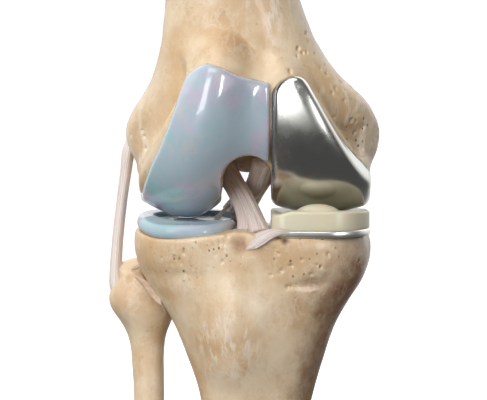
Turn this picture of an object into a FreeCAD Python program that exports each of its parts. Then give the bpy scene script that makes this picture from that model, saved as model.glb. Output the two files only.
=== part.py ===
import FreeCAD, Part
import math
import os
import Sketcher

os.makedirs("parts", exist_ok=True)

# A right knee with a partial replacement of its inner (medial) compartment.
# Millimetres. +X points to the inner side, +Y to the back, +Z up the leg.
# The origin is the centre of the tibial canal at the lower cut face.

# Driving dimensions, in millimetres and degrees.
sizes = {
    # flexion axis and joint line
    "hingeDepth": 6.0,
    "hingeHeight": 102.5,
    "jointGap": 0.3,
    # femur
    "femurRise": 69.5,
    "shaftWidth": 36.0,
    "shaftDepth": 32.0,
    "femurTopOffset": -9.3,
    "epicondyleWidth": 81.0,
    "epicondyleDepth": 35.0,
    "epicondyleRise": 2.5,
    "cortexThickness": 5.0,
    "cortexAtJoint": 2.5,
    "canalRadius": 6.5,
    "canalDepth": 40.0,
    "condyleWidth": 74.0,
    "lateralRadius": 24.5,
    "medialRadius": 23.0,
    "lateralSetback": 17.0,
    "medialSetback": 14.0,
    "blendAngle": 15.0,
    "condyleBackAngle": 112.0,
    "grooveTopAngle": 128.0,
    "grooveFadeAngle": 152.0,
    "grooveFadeRise": 5.0,
    "notchLeft": -9.6,
    "notchRight": 6.6,
    "notchDrop": 2.3,
    "cartilageThickness": 2.5,
    "cartilageRise": 29.0,
    # femoral component
    "implantLeft": 6.2,
    "implantRight": 38.5,
    "implantRise": 24.3,
    "implantTopRadius": 7.5,
    "implantTopShift": 0.8,
    "implantSlope": 61.5,
    "implantBackAngle": 104.0,
    "crownRadius": 44.0,
    "implantWall": 6.8,
    "frontFacetAngle": 93.0,
    "frontFacetDistance": 28.4,
    "frontRise": 0.2,
    "chamferDistance": 17.0,
    "implantEdge": 2.0,
    "outlineEdge": 1.0,
    "pegRadius": 3.0,
    "pegLength": 11.0,
    "pegSpacing": 15.0,
    "cementThickness": 1.0,
    "cementInset": 2.0,
    "cementBackTop": 0.0,
    # tibia
    "plateauDrop": 27.8,
    "plateauWidth": 75.6,
    "plateauDepth": 51.0,
    "plateauSetback": 3.5,
    "tibiaShaftWidth": 31.0,
    "tibiaShaftDepth": 29.0,
    "tibiaCanalRadius": 6.0,
    "tibiaCanalDepth": 35.0,
    "tuberosityDrop": 27.7,
    "tuberosityReach": 9.0,
    "resectionDepth": 1.0,
    "resectionWall": 5.5,
    # tray and insert
    "trayThickness": 2.3,
    "trayLeft": 5.9,
    "trayRight": 38.5,
    "trayFront": -20.0,
    "trayBack": 25.0,
    "trayOuterCorner": 14.0,
    "trayInnerCorner": 5.0,
    "platformInset": 3.0,
    "platformHeight": 0.9,
    "keelLength": 26.0,
    "keelWidth": 2.6,
    "keelDepth": 8.0,
    "insertFrontHeight": 6.4,
    "insertBackHeight": 4.4,
    "insertInset": 0.3,
    "insertEdge": 1.1,
    # lateral plateau
    "discLeft": -37.7,
    "discRight": -4.8,
    "discFront": -19.0,
    "discBack": 25.0,
    "discHeight": 4.7,
    "discDishWidth": 49.0,
    "meniscusWidth": 9.0,
    "plateauCartilage": 3.2,
    # fibula
    "fibulaHeadDrop": 24.7,
    "fibulaHeadOut": -35.9,
    "fibulaHeadBack": 12.6,
    "fibulaHeadRadius": 10.4,
    "fibulaShaftRadius": 4.6,
    "fibulaShaftOut": -33.7,
    "fibulaShaftBack": 8.0,
    "fibulaTipRise": 13.5,
    "fibulaWall": 1.8,
    "fibulaGap": 1.2,
    # ligaments
    "cruciateRadius": 2.7,
    "posteriorCruciateRadius": 3.3,
    "collateralWidth": 4.0,
    "collateralDepth": 5.6,
    "strapThickness": 1.8,
    "strapWidth": 6.0,
}

doc = FreeCAD.newDocument("PartialKnee")
sheet = doc.addObject("Spreadsheet::Sheet", "Sizes")
for row, (alias, value) in enumerate(sizes.items(), start=1):
    sheet.set("A%d" % row, alias)
    sheet.set("B%d" % row, str(value))
    sheet.setAlias("B%d" % row, alias)
doc.recompute()

vector = FreeCAD.Vector
nodes = {}

# Heights above the lower cut face, which follow the flexion axis and the plateau.
femurTop = "(Sizes.hingeHeight + Sizes.femurRise)"
notchRoof = "(Sizes.hingeHeight - Sizes.notchDrop)"
implantTop = "(Sizes.hingeHeight + Sizes.implantRise)"
plateauLevel = "(Sizes.hingeHeight - Sizes.plateauDrop)"
trayBottom = "(%s - Sizes.resectionDepth)" % plateauLevel
trayTop = "(%s + Sizes.trayThickness)" % trayBottom
insertFrontTop = "(%s + Sizes.insertFrontHeight)" % trayTop
insertBackTop = "(%s + Sizes.insertBackHeight)" % trayTop


# Value of an expression over the sheet, for a starting position or a computed surface.
def valueOf(expression):
    result = sheet.evalExpression(expression)
    return float(getattr(result, "Value", result))


def size(alias):
    return valueOf("Sizes." + alias)


def bind(thing, bindings):
    for name, expression in bindings.items():
        thing.setExpression(name, expression)


def keep(name, thing):
    thing.Label = name
    nodes[name] = thing
    return thing


def surfaceBody(name, shape):
    feature = doc.addObject("Part::Feature", name)
    feature.Shape = shape
    feature.Placement = FreeCAD.Placement()
    return feature


def fused(name, base, tool):
    result = doc.addObject("Part::Fuse", name)
    result.Base = base
    result.Tool = tool
    result.Refine = False
    return result


def cutFrom(name, base, tool):
    result = doc.addObject("Part::Cut", name)
    result.Base = base
    result.Tool = tool
    result.Refine = False
    return result


def shared(name, base, tool):
    result = doc.addObject("Part::Common", name)
    result.Base = base
    result.Tool = tool
    result.Refine = False
    return result


def box(name, lengths, corner):
    result = doc.addObject("Part::Box", name)
    bind(result, dict(zip(("Length", "Width", "Height"), lengths)))
    bind(result, dict(zip(("Placement.Base.x", "Placement.Base.y", "Placement.Base.z"), corner)))
    return result


def cylinder(name, radius, height, place, axis=vector(0, 0, 1)):
    result = doc.addObject("Part::Cylinder", name)
    result.Placement = FreeCAD.Placement(vector(), FreeCAD.Rotation(vector(0, 0, 1), axis))
    bind(result, {"Radius": radius, "Height": height})
    bind(result, dict(zip(("Placement.Base.x", "Placement.Base.y", "Placement.Base.z"), place)))
    return result


def ellipsoid(name, radii, centre):
    result = doc.addObject("Part::Ellipsoid", name)
    result.Angle1 = -90
    result.Angle2 = 90
    result.Angle3 = 360
    bind(result, dict(zip(("Radius2", "Radius3", "Radius1"), radii)))
    bind(result, dict(zip(("Placement.Base.x", "Placement.Base.y", "Placement.Base.z"), centre)))
    return result


# Bone rings: a closed smooth curve between an ellipse and a rounded rectangle.
ringPoints = 16
ringSpacing = 9.0
fibulaSpacing = 5.0


def ring(x, y, z, halfWidth, halfDepth, squareness):
    points = []
    for step in range(ringPoints):
        turn = 2 * math.pi * step / ringPoints
        across = math.copysign(abs(math.cos(turn)) ** (2 / squareness), math.cos(turn))
        along = math.copysign(abs(math.sin(turn)) ** (2 / squareness), math.sin(turn))
        points.append(vector(x + halfWidth * across, y + halfDepth * along, z))
    curve = Part.BSplineCurve()
    curve.interpolate(points, PeriodicFlag=True)
    return Part.Wire([curve.toShape()])


# Value between knots at rising places, without overshoot between them.
def smoothBetween(places, values, at):
    slopes = []
    for index in range(len(places) - 1):
        slopes.append((values[index + 1] - values[index]) / (places[index + 1] - places[index]))
    tangents = [slopes[0]]
    for before, after in zip(slopes, slopes[1:]):
        tangents.append(0.0 if before * after <= 0 else 2 * before * after / (before + after))
    tangents.append(slopes[-1])
    index = 0
    while index < len(places) - 2 and at > places[index + 1]:
        index += 1
    step = places[index + 1] - places[index]
    share = (at - places[index]) / step
    low, high = values[index], values[index + 1]
    bend = tangents[index] * (share**3 - 2 * share**2 + share) * step
    bend += tangents[index + 1] * (share**3 - share**2) * step
    return low + (high - low) * (3 * share**2 - 2 * share**3) + bend


# Rings of a bone at even heights, made from the few that give its shape.
def evenRings(rings, spacing):
    heights = [knot[2] for knot in rings]
    count = max(3, round((heights[-1] - heights[0]) / spacing) + 1)
    even = []
    for step in range(count):
        z = heights[0] + (heights[-1] - heights[0]) * step / (count - 1)
        row = [smoothBetween(heights, [knot[part] for knot in rings], z) for part in (0, 1, 3, 4, 5)]
        even.append((row[0], row[1], z, row[2], row[3], row[4]))
    return even


def ringLoft(rings, inset=0.0, insetAtEnd=None):
    wires = []
    for index, (x, y, z, halfWidth, halfDepth, squareness) in enumerate(rings):
        share = index / (len(rings) - 1)
        less = inset if insetAtEnd is None else inset + (insetAtEnd - inset) * share
        wires.append(ring(x, y, z, halfWidth - less, halfDepth - less, squareness))
    return Part.makeLoft(wires, True, False)


# Joint surface of the femur, as a distance from the flexion axis. The angle is 0 straight
# down, positive to the back and negative to the front. Behind the blend angle the curve is
# an arc about the flexion axis; in front it is a larger arc tangent to the first.
def curveRadius(angle, radius, setback):
    blend = math.radians(size("blendAngle"))
    turn = math.radians(angle)
    if turn > -blend:
        return radius
    facing = math.sin(turn) * math.sin(blend) - math.cos(turn) * math.cos(blend)
    return setback * facing + math.sqrt((setback * facing) ** 2 + (radius + setback) ** 2 - setback**2)


# How far the surface lies under the ridge of each condyle, from the outer side to the
# inner side: at the bottom, in the front groove, and on the shaft above the groove.
bottomDrops = (5.5, 2.0, 0.0, 1.5, 6.5, 8.5, 6.0, 2.0, 0.0, 1.6, 6.0)
grooveDrops = (9.0, 3.5, 0.3, 0.5, 3.0, 4.6, 3.6, 2.0, 3.0, 6.5, 12.0)
shaftDrops = (10.0, 6.0, 3.2, 1.4, 0.4, 0.0, 0.4, 1.4, 3.2, 6.0, 10.0)


def blend(low, high, at):
    share = min(max((at - low) / (high - low), 0.0), 1.0)
    return share * share * (3 - 2 * share)


def condylePoint(station, angle, depth):
    across = station / (len(bottomDrops) - 1) * 2 - 1
    forward = min(max((-angle - 40) / 90, 0.0), 1.0)
    width = size("condyleWidth") / 2 * (1 - 0.42 * forward**2)
    x = across * width - 4 * blend(size("grooveTopAngle"), size("grooveFadeAngle"), -angle)
    inner = blend(-0.3, 0.3, across)
    radius = size("lateralRadius") * (1 - inner) + size("medialRadius") * inner
    setback = size("lateralSetback") * (1 - inner) + size("medialSetback") * inner
    top = size("grooveTopAngle")
    surface = curveRadius(max(angle, -top), radius, setback)
    drop = bottomDrops[station] + (grooveDrops[station] - bottomDrops[station]) * blend(25, 95, -angle)
    fade = min(max((-angle - top) / (size("grooveFadeAngle") - top), 0.0), 1.0)
    surface = surface - drop * (1 - fade) + (size("grooveFadeRise") - shaftDrops[station]) * fade
    reach = surface - depth
    turn = math.radians(angle)
    y = size("hingeDepth") + reach * math.sin(turn)
    z = size("hingeHeight") - reach * math.cos(turn)
    return vector(x, y, z)


def condyleBlank(depth, angles):
    sections = []
    for angle in angles:
        outer = [condylePoint(station, angle, depth) for station in range(len(bottomDrops))]
        inner = [condylePoint(station, angle, depth) for station in (0, len(bottomDrops) - 1)]
        for point in inner:
            turn = math.radians(angle)
            point.y = size("hingeDepth") + 5 * math.sin(turn)
            point.z = size("hingeHeight") - 5 * math.cos(turn)
        curve = Part.BSplineCurve()
        curve.interpolate(outer)
        edges = [
            curve.toShape(),
            Part.makeLine(outer[-1], inner[1]),
            Part.makeLine(inner[1], inner[0]),
            Part.makeLine(inner[0], outer[0]),
        ]
        sections.append(Part.Wire(edges))
    return Part.makeLoft(sections, True, False)


def spacedAngles(first, last, count):
    return [first + (last - first) * step / (count - 1) for step in range(count)]


# Femur: shaft and flare, joint blank, notch and the facets cut for the component.
topX = size("femurTopOffset")
halfEpi = size("epicondyleWidth") / 2
epiZ = size("hingeHeight") + size("epicondyleRise")
shaftA = size("shaftWidth") / 2
shaftB = size("shaftDepth") / 2
epiB = size("epicondyleDepth") / 2
femurRings = [
    (-0.5, 8.0, epiZ - 12, halfEpi - 2.6, epiB - 3.0, 2.3),
    (-0.5, 7.0, epiZ - 5, halfEpi - 0.7, epiB - 0.6, 2.3),
    (-0.5, 6.0, epiZ + 2, halfEpi, epiB, 2.3),
    (-0.5, 4.5, epiZ + 8, halfEpi - 2.2, epiB + 1.5, 2.3),
    (-1.2, 1.2, epiZ + 14, halfEpi - 6.5, epiB + 1.0, 2.3),
    (-2.6, -0.8, epiZ + 21, halfEpi - 11.0, epiB - 0.5, 2.3),
    (-4.6, -1.4, epiZ + 31, shaftA + 7.0, shaftB + 0.6, 2.3),
    (-6.8, -1.0, epiZ + 45, shaftA + 3.6, shaftB + 0.8, 2.2),
    (topX, -1.5, valueOf(femurTop), shaftA, shaftB, 2.2),
]
femurRings = evenRings(femurRings, ringSpacing)
backAngle = size("condyleBackAngle")
fadeAngle = size("grooveFadeAngle")
blendTurn = size("blendAngle")
rearAngles = spacedAngles(backAngle, -blendTurn, 7)
frontAngles = spacedAngles(-blendTurn, -fadeAngle, 8)
shaftBlank = surfaceBody("FemurShaftBlank", ringLoft(femurRings))
rearBone = surfaceBody("CondyleBone", condyleBlank(size("cartilageThickness"), rearAngles))
frontBone = surfaceBody("GrooveBone", condyleBlank(size("cartilageThickness"), frontAngles))
femurRear = fused("FemurRear", shaftBlank, rearBone)
femurNatural = fused("FemurNatural", femurRear, frontBone)

notchMiddle = "(Sizes.notchLeft + Sizes.notchRight) / 2"
notchHalf = "(Sizes.notchRight - Sizes.notchLeft) / 2"
notchArch = cylinder(
    "NotchArch",
    notchHalf,
    "120",
    (notchMiddle, "-60", "%s - %s" % (notchRoof, notchHalf)),
    vector(0, 1, 0),
)
notchSlot = box(
    "NotchSlot",
    ("Sizes.notchRight - Sizes.notchLeft", "120", "40"),
    ("Sizes.notchLeft", "-60", "%s - 40 - %s" % (notchRoof, notchHalf)),
)
notch = fused("Notch", notchArch, notchSlot)


# Facets of the component's seat: lines at a distance from the flexion axis, each facing the
# angle given, in a plane across the knee with the axis at its origin.
seatFacets = [
    ("90", "Sizes.medialRadius - Sizes.implantWall"),
    ("45", "Sizes.chamferDistance"),
    ("0", "Sizes.medialRadius - Sizes.implantWall"),
    ("-50", "Sizes.chamferDistance + Sizes.frontRise"),
    ("-Sizes.frontFacetAngle", "Sizes.frontFacetDistance"),
]


def facetCorner(first, second, extra):
    turns = {"a": "(%s) * 1 deg" % first[0], "b": "(%s) * 1 deg" % second[0]}
    lengths = {"c": "(%s + %s)" % (first[1], extra), "d": "(%s + %s)" % (second[1], extra)}
    words = {**turns, **lengths}
    spread = "sin({b} - {a})"
    across = "({d} * cos({a}) - {c} * cos({b})) / " + spread
    upward = "({d} * sin({a}) - {c} * sin({b})) / " + spread
    return across.format(**words), upward.format(**words)


# Corners from the top of the back facet to the top of the front facet, moved out by extra.
def seatCorners(extra):
    corners = [facetCorner(first, second, extra) for first, second in zip(seatFacets, seatFacets[1:])]
    lean = "tan((Sizes.frontFacetAngle - 90) * 1 deg)"
    frontTop = ("%s + (40 - (%s)) * %s" % (corners[-1][0], corners[-1][1], lean), "40")
    return [("%s + %s" % (seatFacets[0][1], extra), "40")] + corners + [frontTop]


def originPlane(body, role):
    return [item for item in body.Origin.OriginFeatures if item.Role == role][0]


def newBody(name):
    body = doc.addObject("PartDesign::Body", name.title().replace("_", ""))
    return keep(name, body)


def newTool(name):
    return doc.addObject("PartDesign::Body", name)


def newSketch(body, name, role, offset, turn=0.0):
    sketch = body.newObject("Sketcher::SketchObject", name)
    sketch.AttachmentSupport = [(originPlane(body, role), "")]
    sketch.MapMode = "FlatFace"
    sketch.AttachmentOffset = FreeCAD.Placement(vector(), FreeCAD.Rotation(vector(1, 0, 0), turn))
    bind(sketch, {"AttachmentOffset.Base." + key: text for key, text in offset.items()})
    return sketch


# Closed outline whose corners lie at bound distances from the sketch origin. A corner with a
# third value starts an arc of that radius to the next corner, bulging to the right of the way.
def drawOutline(sketch, corners):
    spots = [vector(valueOf(corner[0]), valueOf(corner[1]), 0) for corner in corners]
    ends = []
    for index, corner in enumerate(corners):
        start = spots[index]
        end = spots[(index + 1) % len(spots)]
        if len(corner) == 3:
            radius = valueOf(corner[2])
            chord = end - start
            rise = radius - math.sqrt(radius**2 - (chord.Length / 2) ** 2)
            side = vector(chord.y, -chord.x, 0) / chord.Length
            item = sketch.addGeometry(Part.Arc(start, (start + end) / 2 + side * rise, end), False)
        else:
            item = sketch.addGeometry(Part.LineSegment(start, end), False)
        first = 1 if (sketch.getPoint(item, 1) - start).Length < 1e-6 else 2
        ends.append((item, first))
    for index, (item, first) in enumerate(ends):
        following, start = ends[(index + 1) % len(ends)]
        sketch.addConstraint(Sketcher.Constraint("Coincident", item, 3 - first, following, start))
    for index, (item, first) in enumerate(ends):
        spot = (spots[index].x, spots[index].y)
        for kind, distance, text in zip(("DistanceX", "DistanceY"), spot, corners[index]):
            number = sketch.addConstraint(Sketcher.Constraint(kind, -1, 1, item, first, distance))
            sketch.setExpression("Constraints[%d]" % number, text)
        if len(corners[index]) == 3:
            radius = valueOf(corners[index][2])
            number = sketch.addConstraint(Sketcher.Constraint("Radius", item, radius))
            sketch.setExpression("Constraints[%d]" % number, corners[index][2])


def drawCircle(sketch, x, y, radius):
    centre = vector(valueOf(x), valueOf(y), 0)
    circle = Part.Circle(centre, vector(0, 0, 1), valueOf(radius))
    item = sketch.addGeometry(circle, False)
    bounds = (("DistanceX", -1, 1, item, 3, centre.x), ("DistanceY", -1, 1, item, 3, centre.y))
    for constraint, text in zip(bounds, (x, y)):
        number = sketch.addConstraint(Sketcher.Constraint(*constraint))
        sketch.setExpression("Constraints[%d]" % number, text)
    number = sketch.addConstraint(Sketcher.Constraint("Radius", item, valueOf(radius)))
    sketch.setExpression("Constraints[%d]" % number, radius)


def pad(body, name, sketch, length, upward=True):
    feature = body.newObject("PartDesign::Pad", name)
    feature.Profile = sketch
    feature.Reversed = not upward
    bind(feature, {"Length": length})
    return feature


def pocket(body, name, sketch, length=None, reverse=False, symmetric=False):
    feature = body.newObject("PartDesign::Pocket", name)
    feature.Profile = sketch
    feature.Reversed = reverse
    feature.Midplane = symmetric
    if length is None:
        feature.Type = "ThroughAll"
    else:
        bind(feature, {"Length": length})
    return feature


def turned(body, kind, name, sketch, angle, reverse=False):
    feature = body.newObject("PartDesign::" + kind, name)
    feature.Profile = sketch
    feature.ReferenceAxis = (sketch, ["H_Axis"])
    feature.Reversed = reverse
    bind(feature, {"Angle": angle})
    return feature


# Femoral component: a crowned section turned about the flexion axis to the back and about
# the centre of the larger arc to the front, then hollowed to the seat and cut to outline.
halfWide = "(Sizes.implantRight - Sizes.implantLeft) / 2"
rimSpan = "sqrt((Sizes.crownRadius - Sizes.implantEdge) ^ 2 - (%s - Sizes.implantEdge) ^ 2)" % halfWide
rimLean = "(%s) / (Sizes.crownRadius - Sizes.implantEdge)"
axisPlace = {"y": "Sizes.hingeHeight", "z": "-Sizes.hingeDepth"}
setUp = "Sizes.medialSetback * cos(Sizes.blendAngle * 1 deg)"
setBack = "Sizes.medialSetback * sin(Sizes.blendAngle * 1 deg)"
frontPlace = {"y": "Sizes.hingeHeight + " + setUp, "z": "-(Sizes.hingeDepth + %s)" % setBack}


# Crowned section with a rounded rim on each side; radius is that of the crown's ridge.
def crownSection(body, name, place, inner, radius):
    section = newSketch(body, name, "XZ_Plane", place, -size("blendAngle"))
    sideY = "Sizes.crownRadius - (%s) - %s" % (radius, rimSpan)
    touchY = "%s - Sizes.implantEdge * %s" % (sideY, rimLean % rimSpan)
    inward = "Sizes.implantEdge * (1 - %s)" % (rimLean % (halfWide + " - Sizes.implantEdge"))
    drawOutline(
        section,
        [
            ("Sizes.implantLeft", "-(%s)" % inner),
            ("Sizes.implantLeft", sideY, "Sizes.implantEdge"),
            ("Sizes.implantLeft + " + inward, touchY, "Sizes.crownRadius"),
            ("Sizes.implantRight - " + inward, touchY, "Sizes.implantEdge"),
            ("Sizes.implantRight", sideY),
            ("Sizes.implantRight", "-(%s)" % inner),
        ],
    )
    return section


component = newBody("femoral_component")
rearSection = crownSection(component, "RearSection", axisPlace, "8", "Sizes.medialRadius")
turned(component, "Revolution", "RearRunner", rearSection, "Sizes.blendAngle + Sizes.implantBackAngle")
frontSection = crownSection(
    component,
    "FrontSection",
    frontPlace,
    "8 + Sizes.medialSetback",
    "Sizes.medialRadius + Sizes.medialSetback",
)
turned(component, "Revolution", "FrontRunner", frontSection, "100", True)

kneePlace = {"x": "Sizes.hingeDepth", "y": "Sizes.hingeHeight"}
seat = newSketch(component, "Seat", "YZ_Plane", kneePlace)
drawOutline(seat, seatCorners("0"))
doc.recompute()
pocket(component, "SeatCut", seat, symmetric=True)

slope = "Sizes.implantSlope * 1 deg"
arcX = "(Sizes.implantLeft + Sizes.implantTopRadius - Sizes.implantTopShift)"
arcZ = "(%s - Sizes.implantTopRadius)" % implantTop
touchX = "(%s + Sizes.implantTopRadius * sin(%s))" % (arcX, slope)
touchZ = "(%s + Sizes.implantTopRadius * cos(%s))" % (arcZ, slope)
cornerRise = "sqrt(Sizes.implantTopRadius ^ 2 - (Sizes.implantTopRadius - Sizes.implantTopShift) ^ 2)"
shoulderZ = "%s - (Sizes.implantRight - %s) * tan(%s)" % (touchZ, touchX, slope)
teardrop = newSketch(component, "Teardrop", "XZ_Plane", {"z": "-Sizes.hingeDepth"})
drawOutline(
    teardrop,
    [
        ("Sizes.implantLeft", "Sizes.hingeHeight - 52.5"),
        ("Sizes.implantLeft - 10", "Sizes.hingeHeight - 52.5"),
        ("Sizes.implantLeft - 10", "Sizes.hingeHeight + 47.5"),
        ("Sizes.implantRight + 10", "Sizes.hingeHeight + 47.5"),
        ("Sizes.implantRight + 10", "Sizes.hingeHeight - 52.5"),
        ("Sizes.implantRight", "Sizes.hingeHeight - 52.5"),
        ("Sizes.implantRight", shoulderZ),
        (touchX, touchZ, "Sizes.implantTopRadius"),
        ("Sizes.implantLeft", "%s + %s" % (arcZ, cornerRise)),
    ],
)
doc.recompute()
pocket(component, "OutlineCut", teardrop, reverse=True)


def edgesNear(shape, test):
    return ["Edge%d" % (index + 1) for index, edge in enumerate(shape.Edges) if test(edge)]


def rounded(body, name, base, test, radius):
    doc.recompute()
    feature = body.newObject("PartDesign::Fillet", name)
    feature.Base = (base, edgesNear(base.Shape, test))
    bind(feature, {"Radius": radius})
    return feature


# Distance of a point from the flexion axis.
def axisDistance(point):
    return math.hypot(point.y - size("hingeDepth"), point.z - size("hingeHeight"))


def middleOf(edge):
    return edge.valueAt((edge.FirstParameter + edge.LastParameter) / 2)


# The rim of the front flange, where the crowned face meets the slanted and the top side.
def isFlangeRim(edge):
    middle = middleOf(edge)
    wide = edge.BoundBox.XMax - edge.BoundBox.XMin > 1
    turn = math.radians(-size("frontFacetAngle"))
    ahead = (middle.y - size("hingeDepth")) * math.sin(turn)
    ahead -= (middle.z - size("hingeHeight")) * math.cos(turn)
    return wide and ahead > size("frontFacetDistance") + 0.5


outlineCut = component.Tip
rounded(component, "RimRounding", outlineCut, isFlangeRim, "Sizes.outlineEdge")

# Shallow recess for the cement behind the back, bottom and lower front facets.
cementX = "Sizes.implantRight - Sizes.implantLeft - 2 * Sizes.cementInset"


def cementBand(body, name, side, inner):
    band = newSketch(body, name, "YZ_Plane", dict(kneePlace, z=side))
    innerRun = seatCorners(inner)
    outerRun = seatCorners("Sizes.cementThickness")
    corners = [(innerRun[0][0], "Sizes.cementBackTop")] + innerRun[1:3]
    corners += [innerRun[3], outerRun[3]] + outerRun[2:0:-1] + [(outerRun[0][0], "Sizes.cementBackTop")]
    drawOutline(band, corners)
    return band


recess = cementBand(component, "CementRecess", "Sizes.implantLeft + Sizes.cementInset", "-0.5")
doc.recompute()
pocket(component, "RecessCut", recess, cementX, reverse=True)
doc.recompute()

pegPlace = {"z": "Sizes.hingeHeight - (Sizes.medialRadius - Sizes.implantWall) - 2"}
pegX = "(Sizes.implantLeft + Sizes.implantRight) / 2"
pegY = ["Sizes.hingeDepth + %s Sizes.pegSpacing / 2 - 1.5" % sign for sign in ("-", "")]


def drawPegs(body, name):
    sketch = newSketch(body, name, "XY_Plane", pegPlace)
    for y in pegY:
        drawCircle(sketch, pegX, y, "Sizes.pegRadius")
    return sketch


pegs = drawPegs(component, "PegCircles")
doc.recompute()
pad(component, "Pegs", pegs, "Sizes.pegLength + 2")
doc.recompute()

cement = newBody("femoral_cement")
layer = cementBand(cement, "CementBand", "Sizes.implantLeft + Sizes.cementInset", "0")
pad(cement, "Layer", layer, cementX)
doc.recompute()
holes = drawPegs(cement, "PegHoles")
doc.recompute()
pocket(cement, "PegHolesCut", holes, reverse=True)
doc.recompute()


# Bone left after the component's seat has been cut, and the spongy bone inside it.
def seatBlock(name):
    block = newTool(name)
    run = newSketch(block, name + "Run", "YZ_Plane", dict(kneePlace, z="Sizes.implantLeft - 1"))
    drawOutline(run, seatCorners("0"))
    pad(block, name + "Pad", run, "60")
    return block


seatKept = seatBlock("SeatKept")
seatLeft = "Sizes.implantLeft - Sizes.jointGap"
frontBox = box(
    "FrontResection",
    ("45", "60 + Sizes.hingeDepth", "Sizes.implantRise + Sizes.jointGap + 42.5"),
    (seatLeft, "-60", "Sizes.hingeHeight - 42.5"),
)
rearHeight = "43.5 + Sizes.medialRadius * sin((Sizes.implantBackAngle - 90) * 1 deg)"
rearPlace = (seatLeft, "Sizes.hingeDepth - 1", "Sizes.hingeHeight - 42.5")
rearBox = box("RearResection", ("45", "60", rearHeight), rearPlace)
resection = cutFrom("Resection", fused("ResectionBoxes", frontBox, rearBox), seatKept)

coreRings = [row for row in femurRings if row[2] > valueOf(notchRoof)]
wall = size("cortexThickness")
femurCoreBlank = surfaceBody("FemurCoreBlank", ringLoft(coreRings, size("cortexAtJoint") + 2, wall))
canalPlace = ("Sizes.femurTopOffset", "-1.5", femurTop + " - Sizes.canalDepth")
femurCanal = cylinder("FemurCanal", "Sizes.canalRadius", "Sizes.canalDepth + 5", canalPlace)



# Path of a strand from (x, y, rise) rows, its rises stretched to reach from low to high.
def climb(path, low, high):
    stretch = (high - low) / max(row[2] for row in path)
    return [(x, y, low + rise * stretch) for x, y, rise in path]


hingeZ = size("hingeHeight")
plateauTop = valueOf(plateauLevel)
headZ = plateauTop - size("fibulaHeadDrop")
collateralPath = [
    (-44.2, 13.2, 0.0),
    (-43.4, 12.8, 13.0),
    (-42.4, 11.8, 27.0),
    (-41.4, 10.6, 36.0),
    (-39.9, 9.2, 45.5),
]
collateralRings = climb(collateralPath, headZ + 5, hingeZ - 2)


def strand(name, path, halfWidth, halfDepth, ends=1.0):
    rings = []
    for index, (x, y, z) in enumerate(path):
        flare = ends if index in (0, len(path) - 1) else 1.0
        rings.append((x, y, z, halfWidth * flare, halfDepth * flare, 2.0))
    return surfaceBody(name, ringLoft(rings))


footprint = strand(
    "CollateralFootprint",
    collateralRings,
    size("collateralWidth") / 2 + size("jointGap"),
    size("collateralDepth") / 2 + size("jointGap"),
)
femurNotched = cutFrom("FemurNotched", femurNatural, notch)
femurResected = cutFrom("FemurResected", femurNotched, resection)
femurHollow = cutFrom("FemurHollow", femurResected, femurCoreBlank)
pegHoles = []
for index, y in enumerate(pegY):
    place = (pegX, y, pegPlace["z"])
    pegHoles.append(cylinder("PegHole%d" % (index + 1), "Sizes.pegRadius", "Sizes.pegLength + 2", place))
pegPair = fused("PegPair", pegHoles[0], pegHoles[1])
femurBored = cutFrom("FemurBored", femurHollow, pegPair)
keep("femur_cortex", cutFrom("FemurCortex", femurBored, footprint))
femurCoreCut = cutFrom("FemurCoreCut", femurCoreBlank, femurCanal)
keep("femur_spongy_core", cutFrom("FemurCore", femurCoreCut, pegPair))

# Cartilage: the grown joint surface less the bone, inside the outline seen from the front.
topAngle = size("grooveTopAngle")
rearGrown = surfaceBody("CondyleGrown", condyleBlank(0.0, rearAngles))
frontGrown = surfaceBody("GrooveGrown", condyleBlank(0.0, spacedAngles(-blendTurn, -topAngle - 4, 8)))
cartilageTop = hingeZ + size("cartilageRise")
cartilageEdge = [
    (10.0, cartilageTop - 6.6),
    (-3.9, cartilageTop - 3.6),
    (-9.8, cartilageTop - 1.0),
    (-15.0, cartilageTop),
    (-20.0, cartilageTop - 2.0),
    (-23.6, cartilageTop - 8.5),
    (-26.2, cartilageTop - 17.5),
    (-29.6, cartilageTop - 25.5),
    (-33.6, cartilageTop - 34.0),
    (-36.6, cartilageTop - 43.0),
    (-39.5, cartilageTop - 52.0),
]


def cartilageRegion():
    edge = Part.BSplineCurve()
    edge.interpolate([vector(x, -60, z) for x, z in cartilageEdge])
    low = plateauTop - 10
    under = [(cartilageEdge[-1][0], low), (cartilageEdge[0][0], low)]
    corners = [vector(x, -60, z) for x, z in [cartilageEdge[-1]] + under + [cartilageEdge[0]]]
    sides = [Part.makeLine(first, second) for first, second in zip(corners, corners[1:])]
    face = Part.Face(Part.Wire([edge.toShape()] + sides))
    front = face.extrude(vector(0, 60 + size("hingeDepth"), 0))
    rear = Part.makeBox(60, 60, 70, vector(-60, size("hingeDepth") - 0.5, low))
    return front.fuse(rear)


region = surfaceBody("CartilageRegion", cartilageRegion())
grown = fused("Grown", rearGrown, frontGrown)
cartilageRaw = cutFrom("CartilageRaw", grown, femurNotched)
cartilageOpen = cutFrom("CartilageOpen", cartilageRaw, notch)
medialBox = box("MedialSide", ("60", "120", "120"), (seatLeft, "-60", "Sizes.hingeHeight - 52.5"))
cartilageSide = cutFrom("CartilageSide", cartilageOpen, medialBox)
keep("femoral_cartilage", shared("Cartilage", cartilageSide, region))

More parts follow.
